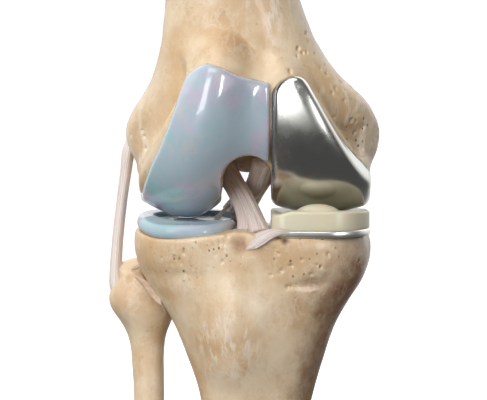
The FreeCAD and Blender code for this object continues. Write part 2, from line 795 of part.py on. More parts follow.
# Tibia: shaft and flare, tuberosity and eminence, with the medial side cut for the tray.
plateauA = size("plateauWidth") / 2
plateauB = size("plateauDepth") / 2
plateauY = size("plateauSetback")
tibiaA = size("tibiaShaftWidth") / 2
tibiaB = size("tibiaShaftDepth") / 2
tibiaRings = [
    (1.2, 0.0, 0.0, tibiaA, tibiaB, 2.1),
    (1.3, 0.0, plateauTop - 54, tibiaA + 3.2, tibiaB + 2.6, 2.1),
    (0.9, 0.0, plateauTop - 43, tibiaA + 6.2, tibiaB + 4.6, 2.1),
    (0.4, 0.3, plateauTop - 33, tibiaA + 9.4, tibiaB + 6.4, 2.2),
    (0.1, 1.2, plateauTop - 24, plateauA - 8.2, plateauB - 3.6, 2.3),
    (0.0, 2.4, plateauTop - 16, plateauA - 2.9, plateauB - 1.6, 2.5),
    (0.0, plateauY, plateauTop - 9, plateauA - 0.3, plateauB - 0.3, 2.8),
    (0.0, plateauY, plateauTop, plateauA, plateauB, 2.9),
]
tibiaRings = evenRings(tibiaRings, ringSpacing)
tibiaBlank = surfaceBody("TibiaBlank", ringLoft(tibiaRings))
tuberosityPlace = ("-3.5", "-5.5 - Sizes.tuberosityReach", plateauLevel + " - Sizes.tuberosityDrop")
tuberosity = ellipsoid("Tuberosity", ("13", "Sizes.tuberosityReach", "25"), tuberosityPlace)
tibiaRaised = fused("TibiaRaised", tibiaBlank, tuberosity)
outerSpine = ellipsoid("OuterSpine", ("4.5", "9", "5.5"), ("-3.6", "5", plateauLevel))
innerSpine = ellipsoid("InnerSpine", ("4.0", "11", "6.5"), ("1.6", "3", plateauLevel))
tibiaSpined = fused("TibiaSpined", fused("TibiaOuterSpine", tibiaRaised, outerSpine), innerSpine)
medialCut = box("MedialCut", ("60", "120", "40"), ("Sizes.resectionWall", "-60", trayBottom))
tibiaCut = cutFrom("TibiaCut", tibiaSpined, medialCut)

tibiaCoreRings = tibiaRings[:-1]
tibiaCoreBlank = surfaceBody("TibiaCoreBlank", ringLoft(tibiaCoreRings, wall, size("cortexAtJoint")))
canalUp = cylinder("TibiaCanal", "Sizes.tibiaCanalRadius", "Sizes.tibiaCanalDepth + 5", ("0", "0", "-5"))

trayMiddleX = "(Sizes.trayLeft + Sizes.trayRight) / 2"
trayMiddleY = "(Sizes.trayFront + Sizes.trayBack) / 2"
keel = box(
    "KeelSlot",
    ("Sizes.keelWidth", "Sizes.keelLength", "Sizes.keelDepth"),
    (
        trayMiddleX + " - Sizes.keelWidth / 2",
        trayMiddleY + " - Sizes.keelLength / 2",
        trayBottom + " - Sizes.keelDepth",
    ),
)
tibiaHollow = cutFrom("TibiaHollow", tibiaCut, tibiaCoreBlank)
keep("tibia_cortex", cutFrom("TibiaCortex", tibiaHollow, keel))
tibiaCoreBored = cutFrom("TibiaCoreBored", tibiaCoreBlank, canalUp)
keep("tibia_spongy_core", cutFrom("TibiaCore", tibiaCoreBored, keel))


# Outline of tray and insert: a rectangle with wide corners on the inner side of the knee.
def trayOutline(body, name, height, inset):
    sketch = newSketch(body, name, "XY_Plane", {"z": height})
    left, right = "Sizes.trayLeft + " + inset, "Sizes.trayRight - (%s)" % inset
    front, back = "Sizes.trayFront + " + inset, "Sizes.trayBack - (%s)" % inset
    wide, tight = "(Sizes.trayOuterCorner - (%s))" % inset, "(Sizes.trayInnerCorner - (%s))" % inset
    drawOutline(
        sketch,
        [
            ("%s + %s" % (left, tight), front),
            ("%s - %s" % (right, wide), front, wide),
            (right, "%s + %s" % (front, wide)),
            (right, "%s - %s" % (back, wide), wide),
            ("%s - %s" % (right, wide), back),
            ("%s + %s" % (left, tight), back, tight),
            (left, "%s - %s" % (back, tight)),
            (left, "%s + %s" % (front, tight), tight),
        ],
    )
    return sketch


tray = newBody("tibial_tray")
pad(tray, "Plate", trayOutline(tray, "PlateOutline", trayBottom, "0"), "Sizes.trayThickness")
platform = trayOutline(tray, "PlatformOutline", trayTop + " - 0.5", "Sizes.platformInset")
pad(tray, "Platform", platform, "Sizes.platformHeight + 0.5")
doc.recompute()
underside = trayOutline(tray, "UndersideOutline", trayBottom, "Sizes.cementInset")
doc.recompute()
pocket(tray, "CementPocket", underside, "Sizes.cementThickness", reverse=True)
doc.recompute()


def keelOutline(body, name, height):
    sketch = newSketch(body, name, "XY_Plane", {"z": height})
    x = [trayMiddleX + sign + "Sizes.keelWidth / 2" for sign in (" - ", " + ")]
    y = [trayMiddleY + sign + "Sizes.keelLength / 2" for sign in (" - ", " + ")]
    drawOutline(sketch, [(x[0], y[0]), (x[1], y[0]), (x[1], y[1]), (x[0], y[1])])
    return sketch


keelSketch = keelOutline(tray, "KeelOutline", trayTop + " - 1")
pad(tray, "Keel", keelSketch, "Sizes.keelDepth + Sizes.trayThickness - 1", upward=False)
doc.recompute()

trayCement = newBody("tibial_cement")
cementOutline = trayOutline(trayCement, "TrayCementOutline", trayBottom, "Sizes.cementInset")
pad(trayCement, "TrayCementLayer", cementOutline, "Sizes.cementThickness")
doc.recompute()
pocket(trayCement, "KeelHole", keelOutline(trayCement, "KeelHoleOutline", trayTop), None)
doc.recompute()

# Bearing insert: padded outline, sloped top, dish turned about the flexion axis.
insert = newBody("tibial_insert")
insertOutline = trayOutline(insert, "InsertOutline", trayTop, "Sizes.insertInset")
pad(insert, "Block", insertOutline, "Sizes.insertFrontHeight")
doc.recompute()
slopeCut = newSketch(insert, "TopSlope", "YZ_Plane", {"z": "Sizes.trayLeft - 5"})
drawOutline(
    slopeCut,
    [
        ("Sizes.trayFront + Sizes.insertInset + 6", insertFrontTop),
        ("Sizes.trayBack + 5", insertBackTop),
        ("Sizes.trayBack + 5", insertFrontTop + " + 5"),
        ("Sizes.trayFront + Sizes.insertInset + 6", insertFrontTop + " + 5"),
    ],
)
doc.recompute()
pocket(insert, "TopSlopeCut", slopeCut, "60", reverse=True)
doc.recompute()


def isTopEdge(edge):
    return middleOf(edge).z > valueOf(insertBackTop) - 0.4 and edge.Length > 1


rounded(insert, "TopRounding", insert.Tip, isTopEdge, "Sizes.insertEdge")
doc.recompute()
dish = newSketch(insert, "DishSection", "XZ_Plane", axisPlace)
dishRadius = "(Sizes.medialRadius + Sizes.jointGap)"
dishSpan = "(%s + 3)" % halfWide
dishDrop = "(Sizes.crownRadius - sqrt(Sizes.crownRadius ^ 2 - %s ^ 2))" % dishSpan
dishEdge = "-(%s - %s)" % (dishRadius, dishDrop)
implantX = "(Sizes.implantLeft + Sizes.implantRight) / 2"
drawOutline(
    dish,
    [
        (implantX + " - " + dishSpan, "-4"),
        (implantX + " - " + dishSpan, dishEdge, "Sizes.crownRadius"),
        (implantX + " + " + dishSpan, dishEdge),
        (implantX + " + " + dishSpan, "-4"),
    ],
)
doc.recompute()
turned(insert, "Groove", "Dish", dish, "360")
doc.recompute()
seatBelow = trayOutline(insert, "PlatformHole", trayTop, "Sizes.platformInset - 0.1")
doc.recompute()
pocket(insert, "PlatformPocket", seatBelow, "Sizes.platformHeight + 0.1", reverse=True)
doc.recompute()

# Outer plateau: a rounded dished disc, split into the meniscus and the cartilage inside it.
discX = (size("discLeft") + size("discRight")) / 2
discY = (size("discFront") + size("discBack")) / 2
discA = (size("discRight") - size("discLeft")) / 2
discB = (size("discBack") - size("discFront")) / 2
discTop = plateauTop + size("discHeight")
discRings = [
    (discX, discY, plateauTop, discA - 1.4, discB - 1.4, 2.5),
    (discX, discY, plateauTop + 0.9, discA - 0.3, discB - 0.3, 2.5),
    (discX, discY, (plateauTop + discTop) / 2, discA, discB, 2.5),
    (discX, discY, discTop - 0.9, discA - 0.4, discB - 0.4, 2.5),
    (discX, discY, discTop, discA - 1.8, discB - 1.8, 2.5),
]
disc = surfaceBody("Disc", ringLoft(discRings))
lateralX = "-Sizes.condyleWidth * 0.3"
dishReach = "Sizes.lateralRadius + Sizes.jointGap"
dishRadii = ("Sizes.discDishWidth / 2", dishReach, dishReach)
lateralDish = ellipsoid("LateralDish", dishRadii, (lateralX, "Sizes.hingeDepth", "Sizes.hingeHeight"))
dished = cutFrom("DishedDisc", disc, lateralDish)
innerX = discX + 3.6
innerA = discA - size("meniscusWidth") + 7.2
innerB = discB - size("meniscusWidth")
innerRings = [(innerX, discY, z, innerA, innerB, 2.0) for z in (plateauTop - 5, discTop + 5)]
innerPlug = surfaceBody("InnerPlug", ringLoft(innerRings))
padHeights = (plateauTop - 5, plateauTop + size("plateauCartilage"))
padRings = [(innerX, discY, z, innerA - 0.1, innerB - 0.1, 2.0) for z in padHeights]
padPlug = surfaceBody("PadPlug", ringLoft(padRings))
discOnBone = cutFrom("DiscOnBone", dished, tibiaSpined)
keep("lateral_meniscus", cutFrom("Meniscus", discOnBone, innerPlug))
keep("lateral_tibial_cartilage", shared("PlateauCartilage", discOnBone, padPlug))

# Fibula, kept clear of the tibia by a thin layer of cartilage.
headX = size("fibulaHeadOut")
headY = size("fibulaHeadBack")
headA = size("fibulaHeadRadius")
shaftX = size("fibulaShaftOut")
shaftY = size("fibulaShaftBack")
shaftR = size("fibulaShaftRadius")
fibulaRings = [
    (shaftX, shaftY, 0.0, shaftR, shaftR, 2.0),
    (shaftX - 0.4, shaftY + 0.8, headZ - 28, shaftR, shaftR, 2.0),
    (shaftX - 0.9, shaftY + 2.0, headZ - 16, shaftR + 0.5, shaftR + 0.7, 2.0),
    (shaftX - 1.1, shaftY + 3.0, headZ - 10, shaftR + 1.7, shaftR + 2.0, 2.0),
    (headX + 0.9, headY - 1.0, headZ - 5, headA - 1.7, headA - 1.8, 2.1),
    (headX, headY, headZ, headA, headA - 0.6, 2.2),
    (headX - 0.2, headY + 0.3, headZ + 5, headA - 1.2, headA - 1.4, 2.1),
    (headX - 0.8, headY + 0.6, headZ + 10, headA - 4.6, headA - 4.4, 2.0),
    (headX - 1.2, headY + 0.8, headZ + size("fibulaTipRise"), 2.0, 2.0, 2.0),
]
fibulaRings = evenRings(fibulaRings, fibulaSpacing)
fibulaBlank = surfaceBody("FibulaBlank", ringLoft(fibulaRings))
gap = size("fibulaGap")
grownRings = [(x, y, z, a + gap, b + gap, n) for x, y, z, a, b, n in tibiaRings]
tibiaGrown = surfaceBody("TibiaGrown", ringLoft(grownRings))
fibulaWhole = cutFrom("FibulaWhole", fibulaBlank, tibiaGrown)
fibulaCoreRings = [row for row in fibulaRings if row[2] < headZ + 2]
fibulaWall = size("fibulaWall")
fibulaCore = surfaceBody("FibulaCoreBlank", ringLoft(fibulaCoreRings, fibulaWall, fibulaWall + 2))
fibulaShared = shared("FibulaCoreInside", fibulaCore, fibulaWhole)
keep("fibula_cortex", cutFrom("FibulaCortex", fibulaWhole, fibulaCore))
keep("fibula_spongy_core", fibulaShared)
facetRings = [row for row in fibulaRings if headZ - 8 < row[2] < headZ + 8]
facetPlug = surfaceBody("FacetPlug", ringLoft(facetRings, gap))
facetLayer = shared("FacetLayer", facetPlug, tibiaGrown)
keep("tibiofibular_cartilage", cutFrom("TibiofibularCartilage", facetLayer, tibiaBlank))

# A flat strap between two points, lying on the surface behind it; facing is its flat side.
def strap(name, start, end, facing, width, thickness):
    start, end = vector(*start), vector(*end)
    along = (end - start).normalize()
    flat = vector(*facing)
    flat = (flat - along * flat.dot(along)).normalize()
    side = along.cross(flat)
    wires = []
    for share, wide in ((0.0, 1.15), (0.5, 0.85), (1.0, 1.15)):
        middle = start + (end - start) * share
        points = []
        for step in range(ringPoints):
            turn = 2 * math.pi * step / ringPoints
            offset = side * (math.cos(turn) * width / 2 * wide) + flat * (math.sin(turn) * thickness / 2)
            points.append(middle + offset)
        curve = Part.BSplineCurve()
        curve.interpolate(points, PeriodicFlag=True)
        wires.append(Part.Wire([curve.toShape()]))
    return surfaceBody(name, Part.makeLoft(wires, True, False))


# A strand with the bones and pieces that it meets taken out of it.
def trimmed(name, strandBody, pieces):
    rest = strandBody
    for index, piece in enumerate(pieces):
        rest = cutFrom("%sTrim%d" % (strandBody.Name, index + 1), rest, piece)
    return keep(name, rest)


# Cruciate ligaments, two bundles each, from the notch walls to the plateau.
thick = size("cruciateRadius")
frontInnerPath = [(2.6, -12.0, 0.0), (0.6, -6.5, 5.4), (-2.2, 2.0, 12.4), (-5.2, 11.0, 18.9)]
frontInner = climb(frontInnerPath, plateauTop + 0.9, hingeZ - 8)
frontInnerBundle = strand("FrontInnerBundle", frontInner, thick, thick, 1.15)
trimmed("acl_anteromedial_bundle", frontInnerBundle, [tibiaSpined])
rearOuterPath = [(-2.1, -6.0, 0.0), (-3.4, -0.5, 5.4), (-5.2, 6.5, 11.4), (-6.4, 14.0, 15.9)]
rearOuter = climb(rearOuterPath, plateauTop + 0.9, hingeZ - 11)
rearOuterBundle = strand("RearOuterBundle", rearOuter, thick - 0.4, thick, 1.05)
trimmed("acl_posterolateral_bundle", rearOuterBundle, [tibiaSpined, frontInnerBundle])
broad = size("posteriorCruciateRadius")
frontOuterPath = [
    (2.4, 2.0, 23.0),
    (2.0, 8.0, 18.0),
    (-0.6, 15.5, 12.0),
    (-3.0, 21.5, 6.5),
    (-3.6, 27.0, 0.0),
]
frontOuter = climb(frontOuterPath, plateauTop - 2.7, hingeZ - 7.5)
frontOuterBundle = strand("FrontOuterBundle", frontOuter, broad - 0.4, broad - 0.4)
trimmed("pcl_anterolateral_bundle", frontOuterBundle, [tibiaSpined])
rearInnerPath = [
    (1.6, 9.5, 27.0),
    (2.6, 15.0, 22.0),
    (2.0, 21.5, 15.5),
    (1.2, 28.6, 8.0),
    (1.2, 31.8, 0.0),
]
rearInner = climb(rearInnerPath, plateauTop - 5.2, hingeZ - 6)
rearInnerBundle = strand("RearInnerBundle", rearInner, broad - 0.9, broad - 1.1)
trimmed("pcl_posteromedial_bundle", rearInnerBundle, [tibiaSpined, frontOuterBundle])

# Ligaments outside the joint, and the roots of the menisci.
collateral = strand("Collateral", collateralRings, size("collateralWidth") / 2, size("collateralDepth") / 2)
trimmed("fibular_collateral_ligament", collateral, [fibulaBlank])
strapWide = size("strapWidth")
strapThin = size("strapThickness")
frontEnds = [(-27.6, -7.4, headZ + 6), (-36.6, 2.6, headZ + 0.5)]
frontStrap = strap("FrontStrap", *frontEnds, (-1, -1, 0.3), strapWide, strapThin)
trimmed("anterior_tibiofibular_ligament", frontStrap, [tibiaBlank, fibulaBlank])
rearEnds = [(-22.0, 25.4, headZ + 10.5), (-32.5, 22.4, headZ + 4)]
rearStrap = strap("RearStrap", *rearEnds, (-0.3, 1, 0.2), strapWide, strapThin)
trimmed("posterior_tibiofibular_ligament", rearStrap, [tibiaBlank, fibulaBlank])
rootEnds = [(0.4, -17.5, plateauTop + 1.2), (9.6, -22.1, plateauTop + 0.1)]
rootStrap = strap("RootStrap", *rootEnds, (0.1, -0.6, 1), 4.6, strapThin - 0.4)
trimmed("medial_meniscus_anterior_root", rootStrap, [tibiaBlank, tray, insert])
rearRootEnds = [(-7.4, 24.0, discTop + 0.2), (3.2, 22.5, hingeZ - 10.5)]
rearRoot = strap("RearRoot", *rearRootEnds, (0, 1, 0.2), 4.4, strapThin)
trimmed("meniscofemoral_ligament", rearRoot, [disc, rearInnerBundle])

doc.recompute()
failed = [item.Name for item in doc.Objects if "Invalid" in item.State or "Error" in item.State]
for name, node in nodes.items():
    shape = node.Shape
    if shape.isNull() or not shape.isValid() or len(shape.Solids) != 1:
        failed.append(name)
if failed:
    raise RuntimeError("not built: " + ", ".join(failed))
for name, node in nodes.items():
    node.Shape.exportStep("parts/%s.step" % name)
    print(name, round(node.Shape.Volume))
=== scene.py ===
import math
from functools import reduce

import bmesh
import bpy
import numpy as np
import openvdb as vdb
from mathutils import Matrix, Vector


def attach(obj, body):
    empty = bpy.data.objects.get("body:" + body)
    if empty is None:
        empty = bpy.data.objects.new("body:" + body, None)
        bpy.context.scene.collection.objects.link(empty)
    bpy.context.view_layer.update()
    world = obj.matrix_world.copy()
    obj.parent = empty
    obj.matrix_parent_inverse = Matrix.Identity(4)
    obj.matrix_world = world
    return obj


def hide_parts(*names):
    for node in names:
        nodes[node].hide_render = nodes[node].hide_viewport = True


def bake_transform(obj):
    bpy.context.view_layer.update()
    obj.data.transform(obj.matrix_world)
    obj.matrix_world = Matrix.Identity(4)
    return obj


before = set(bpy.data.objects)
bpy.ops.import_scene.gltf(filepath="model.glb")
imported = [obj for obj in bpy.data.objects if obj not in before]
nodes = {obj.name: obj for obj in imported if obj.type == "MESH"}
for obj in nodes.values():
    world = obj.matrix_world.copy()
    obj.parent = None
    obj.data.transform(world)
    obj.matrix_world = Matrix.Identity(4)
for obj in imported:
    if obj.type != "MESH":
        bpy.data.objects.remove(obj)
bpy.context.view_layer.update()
scene = bpy.context.scene
mm = 0.001

# shared joint measures in millimetres, the same as those of the solids
joint = {
    "axisY": 6.0,
    "axisZ": 102.5,
    "rearRadius": 23.0,
    "frontSetback": 14.0,
    "blendAngle": 15.0,
    "crownRadius": 44.0,
    "gap": 0.3,
    "femurTop": 172.0,
    "plateauTop": 74.8,
    "trayBed": 73.7,
    "coreSetback": 1.0,
}


def paint(red, green, blue):  # 0 to 255 as read on a screen, to linear
    linear = []
    for value in (red, green, blue):
        value = value / 255
        linear.append(value / 12.92 if value <= 0.04045 else ((value + 0.055) / 1.055) ** 2.4)
    return (*linear, 1.0)


# Nodes of one tree. An input is given as a value or as the socket that feeds it.
class Graph:
    def __init__(self, tree):
        self.tree = tree
        self.place = self.add("TexCoord").outputs
        self.where = self.place["Object"]

    def add(self, kind, inputs=None, **settings):
        node = self.tree.nodes.new("ShaderNode" + kind)
        for name, value in settings.items():
            setattr(node, name, value)
        self.fill(node, inputs or {})
        return node

    def fill(self, node, inputs):
        for key, item in inputs.items():
            if isinstance(item, bpy.types.NodeSocket):
                self.tree.links.new(item, node.inputs[key])
            else:
                node.inputs[key].default_value = item

    def axes(self, vector):
        return self.add("SeparateXYZ", {0: vector}).outputs

    def noise(self, scale, detail, rough, vector=None):
        inputs = {"Scale": scale, "Detail": detail, "Roughness": rough, "Vector": vector or self.where}
        return self.add("TexNoise", inputs).outputs["Fac"]

    def ramp(self, source, low, high, first=0.0, last=1.0):
        inputs = {"Value": source, "From Min": low, "From Max": high, "To Min": first, "To Max": last}
        return self.add("MapRange", inputs, interpolation_type="SMOOTHSTEP").outputs[0]

    def calc(self, operation, *items):
        def join(one, two):
            return self.add("Math", {0: one, 1: two}, operation=operation).outputs[0]

        return reduce(join, items)

    def times(self, *items):
        return self.calc("MULTIPLY", *items)

    def plus(self, *items):
        return self.calc("ADD", *items)

    def mix(self, share, first, second):
        return self.add("Mix", {"Factor": share, 6: first, 7: second}, data_type="RGBA").outputs[2]

    def vector(self, operation, *items):
        return self.add("VectorMath", dict(enumerate(items)), operation=operation).outputs

    def bump(self, height, strength, distance):
        inputs = {"Height": height, "Strength": strength, "Distance": distance * mm}
        return self.add("Bump", inputs).outputs[0]

    # How far a place is from a centre in mm, as a share of the radius, moved by drift.
    def nearness(self, centre, radius, drift):
        away = self.vector("DISTANCE", self.where, [value * mm for value in centre])["Value"]
        return self.plus(self.times(away, 1 / (radius * mm)), drift)

    def nearAny(self, places, drift):
        masks = [self.ramp(self.nearness(*place, drift), 0.4, 1.0, 1.0, 0.0) for place in places]
        return self.calc("MAXIMUM", *masks)

    def useGroup(self, group, values):
        node = self.tree.nodes.new("ShaderNodeGroup")
        node.node_tree = group
        self.fill(node, values)
        return node.outputs

    def byRay(self, usual, mirrored, shown):
        path = self.add("LightPath").outputs
        seen = self.add("MixShader", {0: path["Is Glossy Ray"], 1: usual, 2: mirrored}).outputs[0]
        return self.add("MixShader", {0: path["Is Camera Ray"], 1: seen, 2: shown}).outputs[0]


def newMaterial(name):
    material = bpy.data.materials.new(name)
    material.use_nodes = True
    material.node_tree.nodes.clear()
    return material, Graph(material.node_tree)


def addObject(name, data):
    item = bpy.data.objects.new(name, data)
    scene.collection.objects.link(item)
    return item


print("camera, lights and floor")

studio = {
    "distance": 1300.0,
    "elevation": 5.5,
    "aim": (-2.8, -10.0, 85.2),
    "pixelsPerMm": 3.085,
    "pictureWidth": 487,
    "floorReach": 12.0,
    "floorGlow": 0.62,
    "floorGrey": 0.22,
    # what a mirror sees of the floor, in metres: dark in front, pale behind, a bright patch
    "floorRamp": {"low": 0.0, "high": 0.35, "first": 0.10, "last": 0.95},
    "floorPatch": {"centre": (-0.27, -0.56, 0.0), "outer": 0.38, "strength": 1.3},
    "room": {"front": 0.40, "back": 0.75, "turn": -0.35, "left": 1.3, "right": 0.5, "low": 0.2, "high": 1.6},
    "mirror": {"front": 0.08, "back": 1.0, "turn": -0.1, "left": 1.2, "right": 1.5, "low": 0.8, "high": 2.0},
    # direction, distance, width and height in metres, power
    "lights": {
        "keySoftbox": ((-0.48, -0.87, 0.10), 1.0, 0.46, 0.80, 6.4),
        "topSoftbox": ((-0.25, -0.60, 0.76), 1.2, 0.9, 0.7, 6.0),
        "fillSoftbox": ((0.75, -0.60, 0.25), 1.5, 0.5, 0.8, 1.1),
        "stripLight": ((0.53, -0.83, 0.14), 1.1, 0.14, 0.5, 4.0),
    },
    "mirrorOnly": ["stripLight"],
}


def turnTo(item, outward):
    item.rotation_euler = (-outward).to_track_quat("-Z", "Y").to_euler()


def addCamera():
    data = bpy.data.cameras.new("photoCamera")
    camera = addObject("photoCamera", data)
    tilt = math.radians(studio["elevation"])
    back = Vector((0, -math.cos(tilt), math.sin(tilt)))
    camera.location = (Vector(studio["aim"]) + back * studio["distance"]) * mm
    turnTo(camera, back)
    data.sensor_width = 36
    data.lens = 36 * studio["distance"] * studio["pixelsPerMm"] / studio["pictureWidth"]
    data.clip_start = 0.05
    data.clip_end = 50
    scene.camera = camera


def addAreaLight(name, direction, distance, width, height, power):
    data = bpy.data.lights.new(name, "AREA")
    data.shape = "RECTANGLE"
    data.size = width
    data.size_y = height
    data.energy = power
    light = addObject(name, data)
    outward = Vector(direction).normalized()
    light.location = Vector((0, 0, 0.1)) + outward * distance
    turnTo(light, outward)
    light.visible_diffuse = name not in studio["mirrorOnly"]


# The room is paler behind the object, above it and on its left.
def roomShader(graph, look):
    axes = graph.axes(graph.place["Generated"])
    turn = look["turn"]
    level = graph.times(
        graph.ramp(axes["Y"], turn, turn + 0.7, look["front"], look["back"]),
        graph.ramp(axes["X"], -0.8, 0.8, look["left"], look["right"]),
        graph.ramp(axes["Z"], -0.2, 0.8, look["low"], look["high"]),
    )
    return graph.add("Background", {"Strength": level}).outputs[0]


def buildRoom():
    world = bpy.data.worlds.new("paleRoom")
    scene.world = world
    world.use_nodes = True
    world.node_tree.nodes.clear()
    graph = Graph(world.node_tree)
    lit, mirrored = (roomShader(graph, studio[key]) for key in ("room", "mirror"))
    pale = graph.add("Background").outputs[0]
    graph.add("OutputWorld", {0: graph.byRay(lit, mirrored, pale)})


# White to the camera with the object's shadow on it, and grey to the light that it throws back.
def addFloor():
    mesh = bpy.data.meshes.new("paleFloor")
    reach = studio["floorReach"]
    corners = [(-reach, -reach, 0), (reach, -reach, 0), (reach, reach, 0), (-reach, reach, 0)]
    mesh.from_pydata(corners, [], [(0, 1, 2, 3)])
    floor = addObject("paleFloor", mesh)
    material, graph = newMaterial("paleFloor")
    patch = studio["floorPatch"]
    away = graph.vector("DISTANCE", graph.where, patch["centre"])["Value"]
    level = graph.plus(
        graph.ramp(graph.axes(graph.where)["Y"], *studio["floorRamp"].values()),
        graph.ramp(away, 0.0, patch["outer"], patch["strength"], 0.0),
    )
    mirrored = graph.add("Emission", {"Strength": level}).outputs[0]
    matt = graph.add("BsdfDiffuse", {"Color": (0.8, 0.8, 0.8, 1)}).outputs[0]
    glow = graph.add("Emission", {"Strength": studio["floorGlow"]}).outputs[0]
    shown = graph.add("AddShader", {0: matt, 1: glow}).outputs[0]
    usual = graph.add("BsdfDiffuse", {"Color": (*[studio["floorGrey"]] * 3, 1)}).outputs[0]
    graph.add("OutputMaterial", {0: graph.byRay(usual, mirrored, shown)})
    mesh.materials.append(material)


scene.view_settings.view_transform = "Standard"
addCamera()
buildRoom()
addFloor()
for name, values in studio["lights"].items():
    addAreaLight(name, *values)

print("surface finishes")


# A new group. Inputs are names with their usual values, and the builder returns its outputs.
def newGroup(name, inputs, build):
    group = bpy.data.node_groups.new(name, "ShaderNodeTree")
    for label, value in inputs.items():
        kind = "NodeSocketFloat" if isinstance(value, float) else "NodeSocketColor"
        group.interface.new_socket(label, in_out="INPUT", socket_type=kind).default_value = value
    results = build(Graph(group), group.nodes.new("NodeGroupInput").outputs)
    for label in results:
        kind = "NodeSocketColor" if label == "Color" else "NodeSocketFloat"
        group.interface.new_socket(label, in_out="OUTPUT", socket_type=kind)
    end = group.nodes.new("NodeGroupOutput")
    for label, socket in results.items():
        group.links.new(socket, end.inputs[label])
    return group


boneLook = {
    "mottle": {
        "Pale": paint(236, 214, 182),
        "Warm": paint(216, 182, 139),
        "Stain": paint(184, 134, 90),
        "Patch Scale": 48.0,
        "Stain Amount": 0.28,
        "Pore Scale": 620.0,
        "Pore Amount": 0.35,
    },
    "bump": 0.5,
    # place in mm, radius in mm, strength, tone
    "spots": [
        ((-7.2, -19.0, 134.5), 8.0, 0.5, (186, 136, 94)),
        # painted shade: darker brown in the hollow below the foot of the front cruciate
        ((-3.6, -23.0, 72.0), 4.2, 0.8, (156, 96, 60)),
        # painted shadow: dark red under the tip of the front root band
        ((10.6, -21.8, 73.6), 2.6, 0.95, (92, 34, 22)),
        # painted shade: darker in the crease on the front of the tibia
        ((18.4, -19.0, 58.5), 5.0, 0.3, (184, 140, 102)),
        # painted shade: darker, warmer brown over the medial side of the tibia, the side turned away from the
        # lamps
        ((34.0, -2.0, 54.0), 30.0, 0.95, (142, 88, 48)),
        ((26.0, -2.0, 28.0), 26.0, 0.85, (150, 98, 58)),
        ((-42.0, 2.0, 54.0), 13.0, 0.5, (202, 166, 128)),
        ((0.0, -14.0, 160.0), 22.0, 0.6, (206, 168, 128)),
        # painted shade: dark red-brown in the gap of the tibiofibular joint
        ((-28.6, -2.0, 48.0), 5.5, 0.8, (124, 72, 48)),
        ((-34.0, -8.0, 46.0), 6.0, 0.35, (204, 148, 110)),
        ((-8.0, -22.0, 45.0), 8.0, 0.35, (244, 232, 212)),
        ((-23.0, -18.0, 58.0), 7.0, 0.35, (242, 230, 210)),
        ((-33.0, -5.0, 125.0), 14.0, 0.35, (240, 228, 212)),
    ],
    # places and radii in mm with small dark pores
    "pored": [
        ((38.0, -4.0, 103.0), 19.0),
        ((-13.0, -20.0, 72.0), 9.0),
        ((-25.0, -18.0, 65.5), 9.0),
        ((16.0, -20.0, 68.0), 14.0),
    ],
    # places and radii in mm with pale fibrous streaks
    "streaked": [
        ((38.0, -6.0, 108.0), 26.0),
        ((-40.0, -4.0, 104.0), 14.0),
        ((6.0, -14.0, 150.0), 14.0),
        ((-10.0, -24.0, 40.0), 18.0),
    ],
}


# Mottled tones of a natural surface: two colours, a darker stain, fine pores.
def buildMottle(graph, given):
    patches = graph.noise(given["Patch Scale"], 5.0, 0.6)
    colour = graph.mix(graph.ramp(patches, 0.36, 0.66), given["Pale"], given["Warm"])
    blotches = graph.noise(graph.times(given["Patch Scale"], 2.7), 6.0, 0.65)
    stain = graph.times(graph.ramp(blotches, 0.54, 0.76), given["Stain Amount"])
    colour = graph.mix(stain, colour, given["Stain"])
    # pores are the centres of scattered cells, kept only where a broad noise is high
    scattered = graph.add("TexVoronoi", {"Vector": graph.where, "Scale": given["Pore Scale"]}).outputs
    chance = graph.add("SeparateColor", {0: scattered["Color"]}).outputs[0]
    pores = graph.times(
        graph.ramp(scattered["Distance"], 0.10, 0.30, 1.0, 0.0),
        graph.ramp(graph.noise(90.0, 2.0, 0.5), 0.54, 0.64),
        graph.ramp(chance, 0.55, 0.60),
        given["Pore Amount"],
    )
    colour = graph.mix(pores, colour, given["Stain"])
    drawn = graph.vector("MULTIPLY", graph.where, (1.0, 1.0, 0.28))[0]
    run = graph.noise(380.0, 5.0, 0.65, drawn)
    colour = graph.mix(graph.ramp(run, 0.52, 0.72, 0.0, 0.3), colour, given["Pale"])
    colour = graph.mix(graph.ramp(run, 0.3, 0.44, 0.16, 0.0), colour, given["Stain"])
    height = graph.plus(
        graph.times(graph.noise(900.0, 3.0, 0.6), 0.25),
        graph.times(run, 0.5),
        graph.times(blotches, 0.6),
        graph.times(pores, -1.6),
    )
    return {"Color": colour, "Height": height, "Run": run}


# Fibres that run along the second UV direction.
def buildFibre(graph, given):
    axes = graph.axes(graph.place["UV"])
    across = graph.times(axes["X"], given["Across"])
    along = graph.times(axes["Y"], given["Along"])
    drawn = graph.add("CombineXYZ", {0: across, 1: along}).outputs[0]
    broad, fine = (graph.noise(scale, 3.0, 0.6, drawn) for scale in (1.0, 4.0))
    colour = graph.mix(graph.ramp(broad, 0.35, 0.68), given["Pale"], given["Deep"])
    colour = graph.mix(graph.ramp(fine, 0.52, 0.75, 0.0, 0.45), colour, given["Deep"])
    return {"Color": colour, "Height": graph.plus(broad, graph.times(fine, 0.5))}


# Smudges and hairlines of a polished surface.
def buildPolish(graph, given):
    marks = graph.noise(given["Mark Scale"], 5.0, 0.6)
    span = graph.calc("SUBTRACT", given["High"], given["Low"])
    rough = graph.plus(graph.times(graph.ramp(marks, 0.3, 0.7), span), given["Low"])
    return {"Roughness": rough, "Height": marks}


mottle = newGroup("naturalMottle", boneLook["mottle"], buildMottle)
fibreTones = {"Pale": paint(226, 212, 202), "Deep": paint(166, 132, 118)}
fibre = newGroup("fibreRun", {**fibreTones, "Across": 26.0, "Along": 1.4}, buildFibre)
polish = newGroup("polishMarks", {"Mark Scale": 60.0, "Low": 0.1, "High": 0.2}, buildPolish)


def newFinish(name, inputs):
    material, graph = newMaterial(name)
    surface = graph.add("BsdfPrincipled", inputs)
    graph.add("OutputMaterial", {0: surface.outputs[0]})
    return material, graph, surface


